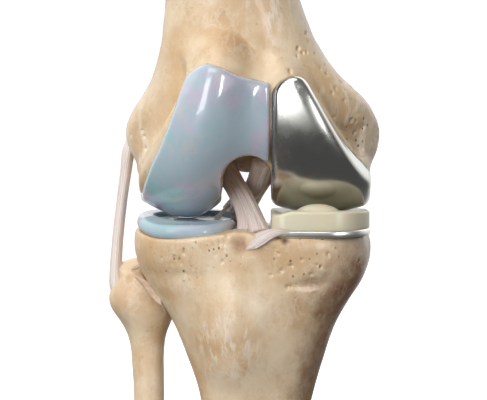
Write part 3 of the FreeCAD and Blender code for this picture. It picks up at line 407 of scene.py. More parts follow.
def boneFinish():
    fixed = {"Specular IOR Level": 0.5, "Coat Weight": 0.35, "Coat Roughness": 0.22}
    fixed.update({"Subsurface Weight": 0.15, "Subsurface Scale": 0.003})
    fixed["Subsurface Radius"] = (1.0, 0.55, 0.3)
    material, graph, surface = newFinish("compactBone", fixed)
    marks = graph.useGroup(mottle, boneLook["mottle"])
    colour = marks["Color"]
    drift = graph.times(graph.calc("SUBTRACT", graph.noise(160.0, 4.0, 0.6), 0.5), 0.9)
    # patches of tone laid in by place; several are painted shade and painted shadow, marked in the list
    for centre, radius, strength, tone in boneLook["spots"]:
        share = graph.nearness(centre, radius, drift)
        colour = graph.mix(graph.ramp(share, 0.2, 1.0, strength, 0.0), colour, paint(*tone))
    # a fine pale net, drawn out lengthwise
    wander = graph.noise(130.0, 3.0, 0.6)
    coloured = wander.node.outputs["Color"]
    shifted = graph.vector("MULTIPLY_ADD", coloured, (0.012, 0.012, 0.012), graph.where)[0]
    drawn = graph.vector("MULTIPLY", shifted, (1.0, 1.0, 0.42))[0]
    net = graph.add("TexVoronoi", {"Scale": 330.0, "Vector": drawn}, feature="DISTANCE_TO_EDGE")
    lines = graph.ramp(net.outputs["Distance"], 0.0, 0.16, 1.0, 0.0)
    lines = graph.times(lines, graph.ramp(wander, 0.42, 0.6, 0.0, 0.24))
    colour = graph.mix(lines, colour, paint(246, 236, 218))
    streaked = graph.nearAny(boneLook["streaked"], drift)
    paleRun = graph.times(graph.ramp(marks["Run"], 0.48, 0.62), streaked)
    colour = graph.mix(graph.times(paleRun, 0.7), colour, paint(242, 228, 210))
    # vessel pores in some places only
    drawn = graph.vector("MULTIPLY", graph.where, (1.0, 1.0, 0.7))[0]
    dots = graph.add("TexVoronoi", {"Scale": 520.0, "Vector": drawn}).outputs
    chance = graph.add("SeparateColor", {0: dots["Color"]}).outputs[0]
    holes = graph.times(
        graph.ramp(dots["Distance"], 0.10, 0.24, 1.0, 0.0),
        graph.ramp(chance, 0.3, 0.4),
        graph.nearAny(boneLook["pored"], drift),
    )
    colour = graph.mix(graph.times(holes, 0.85), colour, paint(122, 78, 50))
    relief = graph.plus(
        marks["Height"],
        graph.times(lines, 0.25),
        graph.times(paleRun, 0.3),
        graph.times(holes, -1.2),
    )
    rough = graph.ramp(marks["Height"], 0.2, 0.7, 0.30, 0.48)
    normal = graph.bump(relief, boneLook["bump"], 0.5)
    graph.fill(surface, {"Base Color": colour, "Roughness": rough, "Normal": normal})
    return material


def spongyFinish():
    material, graph, surface = newFinish("spongyBone", {"Roughness": 0.7})
    inputs = {"Scale": 620.0, "Vector": graph.where}
    net = graph.add("TexVoronoi", inputs, feature="DISTANCE_TO_EDGE")
    wall = graph.ramp(net.outputs["Distance"], 0.02, 0.22)
    colour = graph.mix(wall, paint(226, 200, 164), paint(120, 72, 50))
    normal = graph.bump(graph.calc("SUBTRACT", 1.0, wall), 1.0, 0.8)
    graph.fill(surface, {"Base Color": colour, "Normal": normal})
    return material


cartilageLook = {
    "cool": (180, 197, 208),
    "lilac": (197, 189, 207),
    "teal": (160, 200, 203),
    "cream": (208, 204, 198),
    "deep": (136, 156, 168),
}


def cartilageFinish():
    fixed = {"Coat Roughness": 0.05, "Subsurface Weight": 0.15, "Subsurface Scale": 0.002}
    fixed["Subsurface Radius"] = (0.6, 0.8, 1.0)
    material, graph, surface = newFinish("wetCartilage", fixed)
    veil = graph.noise(95.0, 5.0, 0.6)
    height = graph.axes(graph.where)["Z"]
    upper = graph.ramp(height, 0.078, 0.088, 0.25, 1.0)
    tones = [
        ("lilac", graph.times(graph.ramp(graph.noise(46.0, 4.0, 0.55), 0.44, 0.6), upper)),
        ("teal", graph.ramp(graph.noise(34.0, 4.0, 0.6), 0.5, 0.62, 0.0, 0.9)),
        ("cream", graph.ramp(graph.noise(70.0, 6.0, 0.65), 0.52, 0.68, 0.0, 0.5)),
        ("deep", graph.ramp(veil, 0.5, 0.8, 0.0, 0.4)),
    ]
    colour = paint(*cartilageLook["cool"])
    for key, share in tones:
        colour = graph.mix(share, colour, paint(*cartilageLook[key]))
    # the disc and its bed are less wet than the condyle
    wet = graph.ramp(height, 0.078, 0.084, 0.3, 1.0)
    inputs = {"Base Color": colour, "Roughness": graph.ramp(veil, 0.3, 0.7, 0.16, 0.3), "Coat Weight": wet}
    inputs["Specular IOR Level"] = graph.times(wet, 0.5)
    graph.fill(surface, {**inputs, "Normal": graph.bump(veil, 0.3, 0.5)})
    return material


def metalFinish(name, colour, low, high, scale, wave):
    material, graph, surface = newFinish(name, {"Metallic": 1.0, "Base Color": paint(*colour)})
    marks = graph.useGroup(polish, {"Mark Scale": scale, "Low": low, "High": high})
    graph.fill(surface, {"Roughness": marks["Roughness"], "Normal": graph.bump(marks["Height"], wave, 0.2)})
    return material


def plasticFinish():
    fixed = {"Subsurface Weight": 0.25, "Subsurface Scale": 0.004}
    fixed.update({"Coat Weight": 0.15, "Coat Roughness": 0.25})
    material, graph, surface = newFinish("ivoryPlastic", fixed)
    cloud = graph.ramp(graph.noise(30.0, 2.0, 0.5), 0.4, 0.6)
    grain = graph.noise(1400.0, 2.0, 0.5)
    inputs = {"Base Color": graph.mix(cloud, paint(226, 221, 196), paint(220, 212, 184))}
    inputs["Roughness"] = graph.ramp(grain, 0.3, 0.7, 0.3, 0.38)
    graph.fill(surface, {**inputs, "Normal": graph.bump(grain, 0.03, 0.1)})
    return material


def cementFinish():
    material, graph, surface = newFinish("boneCement", {"Roughness": 0.7})
    grain = graph.noise(500.0, 4.0, 0.6)
    colour = graph.mix(graph.ramp(grain, 0.3, 0.7), paint(214, 209, 190), paint(190, 182, 160))
    graph.fill(surface, {"Base Color": colour, "Normal": graph.bump(grain, 0.3, 0.3)})
    return material


def ligamentFinish(name, pale, deep, across, along, bump):
    fixed = {"Coat Weight": 0.25, "Coat Roughness": 0.2}
    fixed.update({"Subsurface Weight": 0.1, "Subsurface Scale": 0.002})
    material, graph, surface = newFinish(name, fixed)
    inputs = {"Pale": paint(*pale), "Deep": paint(*deep), "Across": across, "Along": along}
    run = graph.useGroup(fibre, inputs)
    rough = graph.ramp(run["Height"], 0.4, 1.1, 0.34, 0.5)
    normal = graph.bump(run["Height"], bump, 0.4)
    graph.fill(surface, {"Base Color": run["Color"], "Roughness": rough, "Normal": normal})
    return material


finishes = {
    "bone": boneFinish(),
    "spongy": spongyFinish(),
    "cartilage": cartilageFinish(),
    "metal": metalFinish("polishedMetal", (196, 196, 191), 0.13, 0.34, 48.0, 0.06),
    "tray": metalFinish("trayMetal", (228, 228, 225), 0.27, 0.36, 60.0, 0.02),
    "plastic": plasticFinish(),
    "cement": cementFinish(),
    "front": ligamentFinish("frontCruciate", (232, 220, 214), (204, 184, 176), 40.0, 1.2, 0.4),
    # painted light: the rear fibres are paler than the front ones, lifting the shade they get deep in the
    # notch
    "rear": ligamentFinish("rearCruciate", (246, 234, 227), (222, 204, 196), 36.0, 1.2, 0.4),
    "film": ligamentFinish("jointFilm", (228, 202, 178), (198, 160, 134), 14.0, 3.0, 0.5),
    "strap": ligamentFinish("sideStrap", (246, 236, 229), (228, 211, 202), 30.0, 0.8, 0.35),
}


print("bone shapes")


# A block of cells on whole multiples of the cell size, with sparse axes in millimetres.
def newBlock(low, high, cell):
    start = np.floor(np.array(low) / cell).astype(int)
    count = np.ceil(np.array(high) / cell).astype(int) - start + 1
    lines = [((start[axis] + np.arange(count[axis])) * cell).astype(np.float32) for axis in range(3)]
    x, y, z = np.meshgrid(*lines, indexing="ij", sparse=True)
    return {"start": start, "shape": tuple(int(n) for n in count), "cell": cell, "x": x, "y": y, "z": z}


# Distance to the surface of CAD nodes taken together, negative inside.
def nodeField(block, names, reach=3.0):
    points, triangles, count = [], [], 0
    for name in names:
        mesh = nodes[name].data
        mesh.calc_loop_triangles()
        spots = np.empty(len(mesh.vertices) * 3, np.float32)
        mesh.vertices.foreach_get("co", spots)
        corners = np.empty(len(mesh.loop_triangles) * 3, np.int32)
        mesh.loop_triangles.foreach_get("vertices", corners)
        points.append(spots.reshape(-1, 3) / mm)
        triangles.append(corners.reshape(-1, 3).astype(np.uint32) + np.uint32(count))
        count += len(mesh.vertices)
    cell = block["cell"]
    level = vdb.FloatGrid.createLevelSetFromPolygons(
        np.vstack(points).astype(np.float32),
        triangles=np.vstack(triangles).astype(np.uint32),
        transform=vdb.createLinearTransform(voxelSize=cell),
        halfWidth=reach / cell,
    )
    field = np.empty(block["shape"], np.float32)
    level.copyToArray(field, ijk=tuple(int(n) for n in block["start"]))
    return field


def smoothed(field, width, cell):
    sigma = width / cell
    reach = max(1, int(math.ceil(sigma * 2.5)))
    offsets = np.arange(-reach, reach + 1)
    weights = np.exp(-0.5 * (offsets / sigma) ** 2)
    weights /= weights.sum()
    for axis in range(3):
        size = field.shape[axis]
        result = np.zeros_like(field)
        for offset, weight in zip(offsets, weights):
            index = np.clip(np.arange(size) + offset, 0, size - 1)
            result += np.float32(weight) * np.take(field, index, axis=axis)
        field = result
    return field


# Smooth unevenness of about plus or minus one, with lumps of the given size.
def unevenness(block, size, seed):
    random = np.random.default_rng(seed)
    tables = []
    for axis in range(3):
        count = block["shape"][axis]
        spot = np.arange(count) * block["cell"] / size
        base = np.floor(spot).astype(int)
        share = spot - base
        table = np.zeros((count, base[-1] + 4), np.float32)
        row = np.arange(count)
        table[row, base] = (1 - share) ** 3 / 6
        table[row, base + 1] = (3 * share**3 - 6 * share**2 + 4) / 6
        table[row, base + 2] = (-3 * share**3 + 3 * share**2 + 3 * share + 1) / 6
        table[row, base + 3] = share**3 / 6
        tables.append(table)
    lattice = random.uniform(-1.8, 1.8, [table.shape[1] for table in tables]).astype(np.float32)
    field = np.tensordot(tables[0], lattice, (1, 0))
    field = np.tensordot(field, tables[1], (1, 1))
    return np.tensordot(field, tables[2], (1, 1))


def softMax(first, second, radius):
    part = np.clip(radius - np.abs(first - second), 0, None)
    return np.maximum(first, second) + part * part / (4 * radius)


def softMin(first, second, radius):
    return -softMax(-first, -second, radius)


def step(low, high, value):
    share = np.clip((value - low) / (high - low), 0, 1)
    return share * share * (3 - 2 * share)


def ball(block, centre, radii):
    spans = [(block[axis] - centre[index]) / radii[index] for index, axis in enumerate("xyz")]
    length = np.sqrt(spans[0] ** 2 + spans[1] ** 2 + spans[2] ** 2)
    return (length - 1) * min(radii)


# Signed distance to a closed outline in the front view, negative inside.
def outlineField(block, outline):
    x = block["x"][:, 0, 0][:, None]
    z = block["z"][0, 0, :][None, :]
    best = np.full((x.shape[0], z.shape[1]), 1e6)
    inside = np.zeros(best.shape, bool)
    for (ax, az), (bx, bz) in zip(outline, outline[1:] + outline[:1]):
        dx, dz = bx - ax, bz - az
        share = np.clip(((x - ax) * dx + (z - az) * dz) / (dx * dx + dz * dz), 0, 1)
        best = np.minimum(best, (x - ax - share * dx) ** 2 + (z - az - share * dz) ** 2)
        crosses = ((az <= z) != (bz <= z)) & (x < ax + (z - az) * dx / (dz if dz else 1e-9))
        inside ^= crosses
    field = np.sqrt(best)
    field[inside] *= -1
    return field.astype(np.float32)[:, None, :]


# Small round pits on the surface inside a box.
def addPits(block, field, pits):
    random = np.random.default_rng(pits["seed"])
    cell = block["cell"]
    lines = [block[axis].ravel() for axis in "xyz"]
    spans = []
    for line, low, high in zip(lines, pits["low"], pits["high"]):
        inside = np.nonzero((line >= low) & (line <= high))[0]
        spans.append(slice(inside[0], inside[-1] + 1))
    spots = np.argwhere(np.abs(field[tuple(spans)]) < cell * 0.8) + [span.start for span in spans]
    picks = spots[random.integers(0, len(spots), pits["count"])]
    sizes = random.uniform(*pits["radii"], len(picks))
    reach = int(math.ceil(pits["radii"][1] / cell)) + 1
    for (i, j, k), size in zip(picks, sizes):
        window = tuple(slice(max(0, n - reach), n + reach + 1) for n in (i, j, k))
        x, y, z = (lines[axis][window[axis]] - lines[axis][n] for axis, n in enumerate((i, j, k)))
        away = np.sqrt(x[:, None, None] ** 2 + y[None, :, None] ** 2 + (z[None, None, :] * 0.8) ** 2)
        field[window] = np.maximum(field[window], (size - away) * 0.9)


def newPiece(name, points, faces, material):
    mesh = bpy.data.meshes.new(name)
    mesh.from_pydata(np.asarray(points, float).tolist(), [], faces if type(faces) is list else faces.tolist())
    mesh.materials.append(material)
    mesh.polygons.foreach_set("use_smooth", [True] * len(mesh.polygons))
    mesh.update()
    piece = addObject(name, mesh)
    return piece


outsideValue = 2.0


def fieldPiece(name, block, field, material, slot, warp=None):
    field = np.ascontiguousarray(field, np.float32)
    for axis in range(3):  # closes the shape at the block's walls
        field.swapaxes(0, axis)[[0, -1]] = outsideValue
    grid = vdb.FloatGrid(background=outsideValue)
    grid.copyFromArray(field)
    points, quads = grid.convertToQuads(0.0)
    points = (points + block["start"]) * block["cell"]
    if warp is not None:
        points = warp(points)
    points = points * mm
    quads = quads[:, ::-1]
    first, second, third = (points[quads[:, corner]] for corner in (0, 1, 2))
    if np.einsum("ij,ij->i", first, np.cross(second, third)).sum() < 0:
        quads = quads[:, ::-1]
    print("  ", name, len(quads), "faces")
    return newPiece(name, points, quads, material)


cells = 0.5


def bump(block, centre, size):
    spans = [(block[axis] - centre[index]) / size[index] for index, axis in enumerate("xyz")]
    return np.exp(-0.5 * (spans[0] ** 2 + spans[1] ** 2 + spans[2] ** 2))


femurShape = {
    "smoothing": 0.9,
    "lumps": 0.32,
    "grit": 0.14,
    # centre, spread and height of each swelling in mm
    "swellings": [
        ((38.0, 2.0, 117.0), (12.0, 14.0, 7.0), 1.6),
        ((24.0, 2.0, 150.0), (10.0, 14.0, 14.0), 0.9),
        ((38.5, 6.0, 98.5), (6.0, 10.0, 7.0), 2.0),
        ((-40.0, 4.0, 112.0), (8.0, 12.0, 8.0), 0.4),
    ],
    "pits": [
        {"seed": 51, "low": (26, -24, 90), "high": (44, 10, 124), "count": 60, "radii": (0.35, 0.75)},
        {"seed": 52, "low": (12, -30, 126), "high": (30, -8, 140), "count": 14, "radii": (0.4, 0.7)},
        {"seed": 53, "low": (-42, -10, 92), "high": (-28, 20, 118), "count": 16, "radii": (0.4, 0.8)},
    ],
}


def shapeFemur():
    block = newBlock((-45, -32, 74), (45, 42, 174), cells)
    x, y, z = block["x"], block["y"], block["z"]
    bone = smoothed(nodeField(block, ["femur_cortex", "femur_spongy_core"]), femurShape["smoothing"], cells)
    # the seat of the component stays true, the rest is uneven
    seat = (1 - step(107, 111, z)) + (1 - step(126, 130, z)) * (1 - step(-14, -8, y))
    seat = np.clip(step(4.0, 6.0, x) * seat, 0, 1)
    fromAxis = np.hypot(y - joint["axisY"], z - joint["axisZ"])
    free = 1 - seat * (1 - step(34.0, 37.0, x) * (1 - step(17.0, 21.0, fromAxis)))
    rugged = 1 + 1.6 * bump(block, (38, 0, 108), (9, 14, 13))
    rise = unevenness(block, 11.0, 3) * femurShape["lumps"]
    rise = rise + unevenness(block, 3.2, 4) * femurShape["grit"] * rugged
    for centre, size, height in femurShape["swellings"]:
        rise = rise + bump(block, centre, size) * height
    covered = 1 - step(0.3, 1.8, nodeField(block, ["femoral_cartilage"]))
    bone = bone - free * (1 - covered) * rise
    # the far end of the notch is roofed lower than its mouth
    roof = ball(block, (-1.6, 19.0, 101.0), (9.5, 8.0, 9.4))
    bone = softMin(bone, roof, 1.5)
    for pits in femurShape["pits"]:
        addPits(block, bone, pits)
    bone = np.maximum(bone, z - joint["femurTop"])
    core = nodeField(block, ["femur_spongy_core"], 2.0)
    bone = np.maximum(bone, -np.maximum(core, joint["femurTop"] - joint["coreSetback"] - z))
    return block, bone


femurBlock, femurField = shapeFemur()
femurBone = fieldPiece("femurBone", femurBlock, femurField, finishes["bone"], "bone")
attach(femurBone, "thigh")
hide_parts("femur_cortex")

cartilageShape = {
    "outline": [
        (10.0, 124.4), (4.0, 125.2), (-3.9, 127.2), (-9.8, 130.0), (-14.4, 131.6), (-19.6, 130.4),
        (-23.2, 126.0), (-25.6, 117.5), (-27.8, 110.8), (-30.2, 104.2), (-33.4, 97.2), (-35.8, 90.5),
        (-37.2, 84.0), (-37.4, 70.0), (10.0, 70.0),
    ],
    "rim": 2.6,
    "depth": 0.7,
}


def shapeFemoralCartilage():
    block = femurBlock
    x, y, z = block["x"], block["y"], block["z"]
    grown = nodeField(block, ["femoral_cartilage", "femur_cortex", "femur_spongy_core"])
    grown = smoothed(grown, 1.0, cells)
    region = outlineField(block, cartilageShape["outline"])
    rear = np.maximum(5.0 - y, z - 116.0 + 0 * x)
    region = softMin(region + 0 * y, rear, 8.0)
    region = softMax(region, nodeField(block, ["femoral_cartilage"], 4.0) - 1.5, 1.0)
    metalSide = x - 6.1
    layer = softMax(grown, region, cartilageShape["rim"])
    layer = softMax(layer, metalSide, 1.0)
    bone = smoothed(nodeField(block, ["femur_cortex", "femur_spongy_core"]), 0.6, cells)
    return np.maximum(layer, -(bone + cartilageShape["depth"]))


femoralCartilage = fieldPiece(
    "femoralCartilage", femurBlock, shapeFemoralCartilage(), finishes["cartilage"], "cartilage"
)
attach(femoralCartilage, "thigh")
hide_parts("femoral_cartilage")

tibiaShape = {
    "smoothing": 1.0,
    "lumps": 0.38,
    "grit": 0.14,
    "hollows": [
        ((-3.4, -23.0, 71.8), (2.6, 3.0, 2.6), 1.1),
        ((18.4, -20.0, 58.6), (4.5, 4.0, 1.3), 0.8),
        ((10.8, -22.0, 73.4), (1.8, 2.5, 1.2), 0.9),
        ((-20.0, -19.0, 66.0), (9.0, 8.0, 5.0), 0.5),
    ],
    "swellings": [
        ((-6.0, -21.0, 54.0), (4.0, 6.0, 14.0), 0.8),
        ((34.0, 0.0, 62.0), (9.0, 16.0, 7.0), 1.3),
        ((28.0, 0.0, 44.0), (9.0, 16.0, 12.0), 1.0),
        ((-36.0, 2.0, 70.0), (7.0, 12.0, 5.0), 0.6),
    ],
    "pits": [
        {"seed": 61, "low": (-16, -30, 66), "high": (-8, -12, 73.5), "count": 14, "radii": (0.35, 0.6)},
        {"seed": 62, "low": (-30, -30, 62), "high": (-18, -12, 69), "count": 12, "radii": (0.35, 0.6)},
        {"seed": 63, "low": (2, -30, 58), "high": (36, -12, 72), "count": 22, "radii": (0.35, 0.7)},
        {"seed": 64, "low": (-40, 10, 52), "high": (40, 34, 73), "count": 40, "radii": (0.4, 0.8)},
    ],
}


def discDroop(x, y):
    across = step(-42, -30, x) * (1 - step(-14, -4, x)) * 0.8 + 0.35 * (1 - step(-8, -2, x))
    return 1.35 * across * (1 - step(-16.0, -2.0, y))


def shapeTibia():
    block = newBlock((-42, -32, -1), (44, 34, 84), cells)
    x, y, z = block["x"], block["y"], block["z"]
    whole = nodeField(block, ["tibia_cortex", "tibia_spongy_core"], 6.0)
    bone = smoothed(whole, tibiaShape["smoothing"], cells)
    # the tuberosity runs out into the shaft
    soft = bump(block, (-3.5, -22.0, 40.0), (17.0, 12.0, 20.0)) * (1 - step(60.0, 68.0, z))
    bone = bone + np.clip(soft * 1.5, 0, 1) * (smoothed(whole, 4.5, cells) - bone)
    free = 1 - step(4.5, 6.5, x) * step(70.0, 72.5, z)
    rise = unevenness(block, 12.0, 7) * tibiaShape["lumps"]
    rise = rise + unevenness(block, 3.4, 8) * tibiaShape["grit"]
    for centre, size, height in tibiaShape["swellings"]:
        rise = rise + bump(block, centre, size) * height
    for centre, size, depth in tibiaShape["hollows"]:
        rise = rise - bump(block, centre, size) * depth
    bone = bone - free * rise
    for pits in tibiaShape["pits"]:
        addPits(block, bone, pits)
    bone = np.maximum(bone, -z)
    # the outer plateau falls away at its front edge, under the drooping disc
    bone = softMax(bone, z - joint["plateauTop"] + discDroop(x, y), 0.8)
    trayBed = np.maximum(5.5 - x, joint["trayBed"] - z)
    bone = np.maximum(bone, -trayBed)
    core = nodeField(block, ["tibia_spongy_core"], 2.0)
    bone = np.maximum(bone, -np.maximum(core, z - joint["coreSetback"]))
    return block, bone


# The front of the outer plateau climbs towards the middle under the disc's inner half.
def plateauClimb(points):
    points = points.copy()
    x, y, z = points.T
    part = step(-27, -10, x) * (1 - step(-3, 3, x)) * (1 - step(-13, -4, y)) * step(70.0, 73.4, z)
    points[:, 2] += 1.5 * part
    return points


tibiaBlock, tibiaField = shapeTibia()
tibiaBone = fieldPiece("tibiaBone", tibiaBlock, tibiaField, finishes["bone"], "bone", plateauClimb)
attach(tibiaBone, "lower_leg")
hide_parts("tibia_cortex")


def shapeFibula():
    cell = min(cells, 0.5)
    block = newBlock((-50, -4, -1), (-22, 28, 68), cell)
    z = block["z"]
    bone = smoothed(nodeField(block, ["fibula_cortex", "fibula_spongy_core"]), 0.6, cell)
    bone = bone - unevenness(block, 7.0, 11) * 0.22 - unevenness(block, 2.6, 12) * 0.08 - 0.35
    bone = bone - 0.7 * bump(block, (-46.0, 10.0, 49.0), (5.0, 8.0, 6.0))
    bone = np.maximum(bone, -z)
    core = nodeField(block, ["fibula_spongy_core"], 2.0)
    return block, np.maximum(bone, -np.maximum(core, z - joint["coreSetback"]))


fibulaBlock, fibulaField = shapeFibula()
fibulaBone = fieldPiece("fibulaBone", fibulaBlock, fibulaField, finishes["bone"], "bone")
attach(fibulaBone, "lower_leg")
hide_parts("fibula_cortex")

print("outer meniscus and cartilage")


def droop(points):
    points = points.copy()
    points[:, 2] -= discDroop(points[:, 0], points[:, 1])
    return points


# The disc and the cartilage inside it share one smooth top and meet in a fine seam.
def shapeDiscs():
    cell = min(cells, 0.45)
    block = newBlock((-42, -24, 70), (0, 30, 83), cell)
    ring = nodeField(block, ["lateral_meniscus"], 2.4)
    bed = nodeField(block, ["lateral_tibial_cartilage"], 2.4)
    both = smoothed(np.minimum(ring, bed), 0.45, cell) - unevenness(block, 9.0, 21) * 0.08
    seam = smoothed(ring.min(axis=2, keepdims=True), 0.8, cell) - 0.3
    return block, softMax(both, seam, 0.5), softMax(both, -seam, 0.5)


discBlock, ringField, bedField = shapeDiscs()
wetLook = (finishes["cartilage"], "cartilage")
lateralMeniscus = fieldPiece("lateralMeniscus", discBlock, ringField, *wetLook, droop)
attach(lateralMeniscus, "lower_leg")
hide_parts("lateral_meniscus")
plateauCartilage = fieldPiece("plateauCartilage", discBlock, bedField, *wetLook, droop)
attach(plateauCartilage, "lower_leg")
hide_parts("lateral_tibial_cartilage")

print("femoral component")


def resample(points, count):
    points = np.array(points, float)
    closed = np.vstack([points, points[:1]])
    travel = np.concatenate([[0], np.cumsum(np.hypot(*np.diff(closed, axis=0).T))])
    spots = np.linspace(0, travel[-1], count, endpoint=False)
    return np.stack([np.interp(spots, travel, closed[:, axis]) for axis in (0, 1)], 1)


# A closed outline with rounded corners: each corner is (x, y, radius).
def roundedOutline(corners, count):
    points = []
    for index, (x, y, radius) in enumerate(corners):
        here = np.array((x, y))
        before = np.array(corners[index - 1][:2]) - here
        after = np.array(corners[(index + 1) % len(corners)][:2]) - here
        before /= np.linalg.norm(before)
        after /= np.linalg.norm(after)
        half = math.acos(np.clip(before @ after, -1, 1)) / 2
        reach = radius / math.tan(half)
        start, end = here + before * reach, here + after * reach
        middle = here + (before + after) / np.linalg.norm(before + after) * (radius / math.sin(half))
        first, last = start - middle, end - middle
        turn = math.atan2(first[0] * last[1] - first[1] * last[0], first @ last)
        for share in np.linspace(0, 1, 24):
            angle = turn * share
            spin = np.array([[math.cos(angle), -math.sin(angle)], [math.sin(angle), math.cos(angle)]])
            points.append(middle + spin @ first)
    return resample(points, count)


def outlineDepth(points, outline):
    best = np.full(len(points), 1e9)
    for start, end in zip(outline, np.roll(outline, -1, 0)):
        along = end - start
        share = np.clip(((points - start) @ along) / (along @ along), 0, 1)
        gap = points - start - share[:, None] * along
        best = np.minimum(best, (gap**2).sum(1))
    return np.sqrt(best)


# Rings of points from an outline in to a spine, closely spaced near the rim.
def inwardRings(outline, spine, rim, count):
    first, last = (np.array(end, float) for end in spine)
    along = last - first
    share = np.clip(((outline - first) @ along) / (along @ along), 0, 1)
    feet = first + share[:, None] * along
    reach = np.linalg.norm(feet - outline, axis=1)
    inward = (feet - outline) / reach[:, None]
    rings = [outline + inward * depth for depth in rim]
    for stage in np.linspace(0, 1, count + 1)[1:]:
        depth = rim[-1] + (reach - rim[-1]) * stage
        rings.append(outline + inward * depth[:, None])
    return rings


def ringFaces(ringCount, pointCount, start=0):
    rows = start + np.arange(ringCount * pointCount).reshape(ringCount, pointCount)
    after = np.roll(rows, -1, 1)
    return np.stack([rows[:-1], after[:-1], after[1:], rows[1:]], 2).reshape(-1, 4)


# Joins the ring of points that starts at offset to the ring before it.
def joinRing(faces, previous, offset):
    row = offset + np.arange(len(previous))
    faces.append(np.stack([row, np.roll(row, -1), np.roll(previous, -1), previous], 1))
    return row


# How far a rounded rim falls away at each point of a sheet.
def rimDrop(points, outline, radius):
    depth = np.minimum(outlineDepth(points, outline), radius)
    return radius - np.sqrt(np.clip(radius**2 - (radius - depth) ** 2, 0, None))


def rimDepths(radius, count):
    return list(radius * (1 - np.cos(np.linspace(0, math.pi / 2, count))))


# Rings of the outline at (height, inset) sections.
def sectionRings(outline, sections):
    inward = outline.mean(0) - outline
    inward /= np.linalg.norm(inward, axis=1)[:, None]
    return [np.column_stack([outline + inward * inset, np.full(len(outline), z)]) for z, inset in sections]


def closeSeams(piece):
    form = bmesh.new()
    form.from_mesh(piece.data)
    bmesh.ops.remove_doubles(form, verts=form.verts, dist=2e-6)
    bmesh.ops.recalc_face_normals(form, faces=form.faces)
    form.to_mesh(piece.data)
    form.free()
    piece.data.polygons.foreach_set("use_smooth", [True] * len(piece.data.polygons))


componentShape = {
    "left": 6.2,
    "right": 38.5,
    "top": 126.8,
    "backAngle": 104.0,
    "rim": 2.0,
    "shoulder": 5.4,
    "shoulderDrop": 1.5,
    # a fade of the shoulder between two heights, and the least wall
    "fade": (108.0, 90.0),
    "wall": 0.6,
    "facets": [(90, 16.2), (45, 17.0), (0, 16.2), (-50, 17.2), (-93, 28.4)],
}


def crownDrop(x):
    middle = (componentShape["left"] + componentShape["right"]) / 2
    radius = joint["crownRadius"]
    return radius - np.sqrt(radius**2 - (x - middle) ** 2)


def runnerPoint(travel):
    bend = math.radians(joint["blendAngle"])
    rear = joint["rearRadius"]
    front = rear + joint["frontSetback"]
    angle = np.where(travel > 0, travel / rear, travel / front) - bend
    shift = np.where(travel > 0, 0.0, joint["frontSetback"])
    radius = np.where(travel > 0, rear, front)
    centreY = joint["axisY"] + shift * math.sin(bend)
    centreZ = joint["axisZ"] + shift * math.cos(bend)
    return centreY, centreZ, radius, np.sin(angle), -np.cos(angle)


def travelAtHeight(z):
    bend = math.radians(joint["blendAngle"])
    front = joint["rearRadius"] + joint["frontSetback"]
    centre = joint["axisZ"] + joint["frontSetback"] * math.cos(bend)
    return -(math.acos((centre - z) / front) - bend) * front


rearEnd = math.radians(componentShape["backAngle"] + joint["blendAngle"]) * joint["rearRadius"]
componentSpine = ((12.8, travelAtHeight(117.0)), (22.4, rearEnd - 16.0))


# The outline of the component on its own developed surface, as x and travel.
def componentOutline():
    shape = componentShape
    top = travelAtHeight(shape["top"] + 0.4)
    corners = [
        (shape["left"], top, 7.0),
        (16.6, top, 5.6),  # the slanted side starts here and ends at 87.9
        (shape["right"], travelAtHeight(87.9), 10.0),
        (shape["right"], rearEnd, 6.0),
        (shape["left"], rearEnd, 6.0),
    ]
    return roundedOutline(corners, 420)


# Running surface and seat side of the component, for points of the developed surface.
def wrapSheet(flat, drop):
    centreY, centreZ, radius, outY, outZ = runnerPoint(flat[:, 1])
    out = radius - crownDrop(flat[:, 0]) - drop
    outer = np.stack([flat[:, 0], centreY + out * outY, centreZ + out * outZ], 1)
    deepest = np.full(len(flat), -1e9)
    for angle, distance in componentShape["facets"]:
        turn = math.radians(angle)
        faceY, faceZ = math.sin(turn), -math.cos(turn)
        over = (outer[:, 1] - joint["axisY"]) * faceY + (outer[:, 2] - joint["axisZ"]) * faceZ
        over = over - distance
        facing = faceY * outY + faceZ * outZ
        reach = np.where(facing > 0.15, over / np.maximum(facing, 0.15), -1e9)
        deepest = np.maximum(deepest, reach)
    deepest = np.clip(deepest, componentShape["wall"], 30)
    inward = -np.stack([0 * out, outY, outZ], 1)
    return outer, outer + inward * deepest[:, None], inward


def buildComponent():
    shape = componentShape
    outline = componentOutline()
    rings = inwardRings(outline, componentSpine, rimDepths(shape["rim"], 9), 34)
    flat = np.vstack(rings)
    slanted = outline[(outline[:, 0] > 17.5) & (outline[:, 1] < rearEnd - 12)]
    fromSlant = np.min(np.linalg.norm(flat[:, None, :] - slanted[None, :, :], axis=2), axis=1)
    fade = 1 - step(*(travelAtHeight(height) for height in shape["fade"]), flat[:, 1])
    drop = rimDrop(flat, outline, shape["rim"])
    drop = drop + fade * shape["shoulderDrop"] * np.clip(1 - fromSlant / shape["shoulder"], 0, 1) ** 2
    outer, inner, _ = wrapSheet(flat, drop)
    count, total, wallSteps = len(outline), len(flat), 5
    points = [outer, inner]
    faces = [ringFaces(len(rings), count), ringFaces(len(rings), count, total)[:, ::-1]]
    previous = np.arange(count)
    for stage in range(1, wallSteps):
        share = stage / wallSteps
        points.append(outer[:count] * (1 - share) + inner[:count] * share)
        previous = joinRing(faces, previous, 2 * total + (stage - 1) * count)
    joinRing(faces, previous, total)
    faces = np.vstack(faces)
    piece = newPiece("femoralComponent", np.vstack(points) * mm, faces, finishes["metal"])
    closeSeams(piece)
    return piece


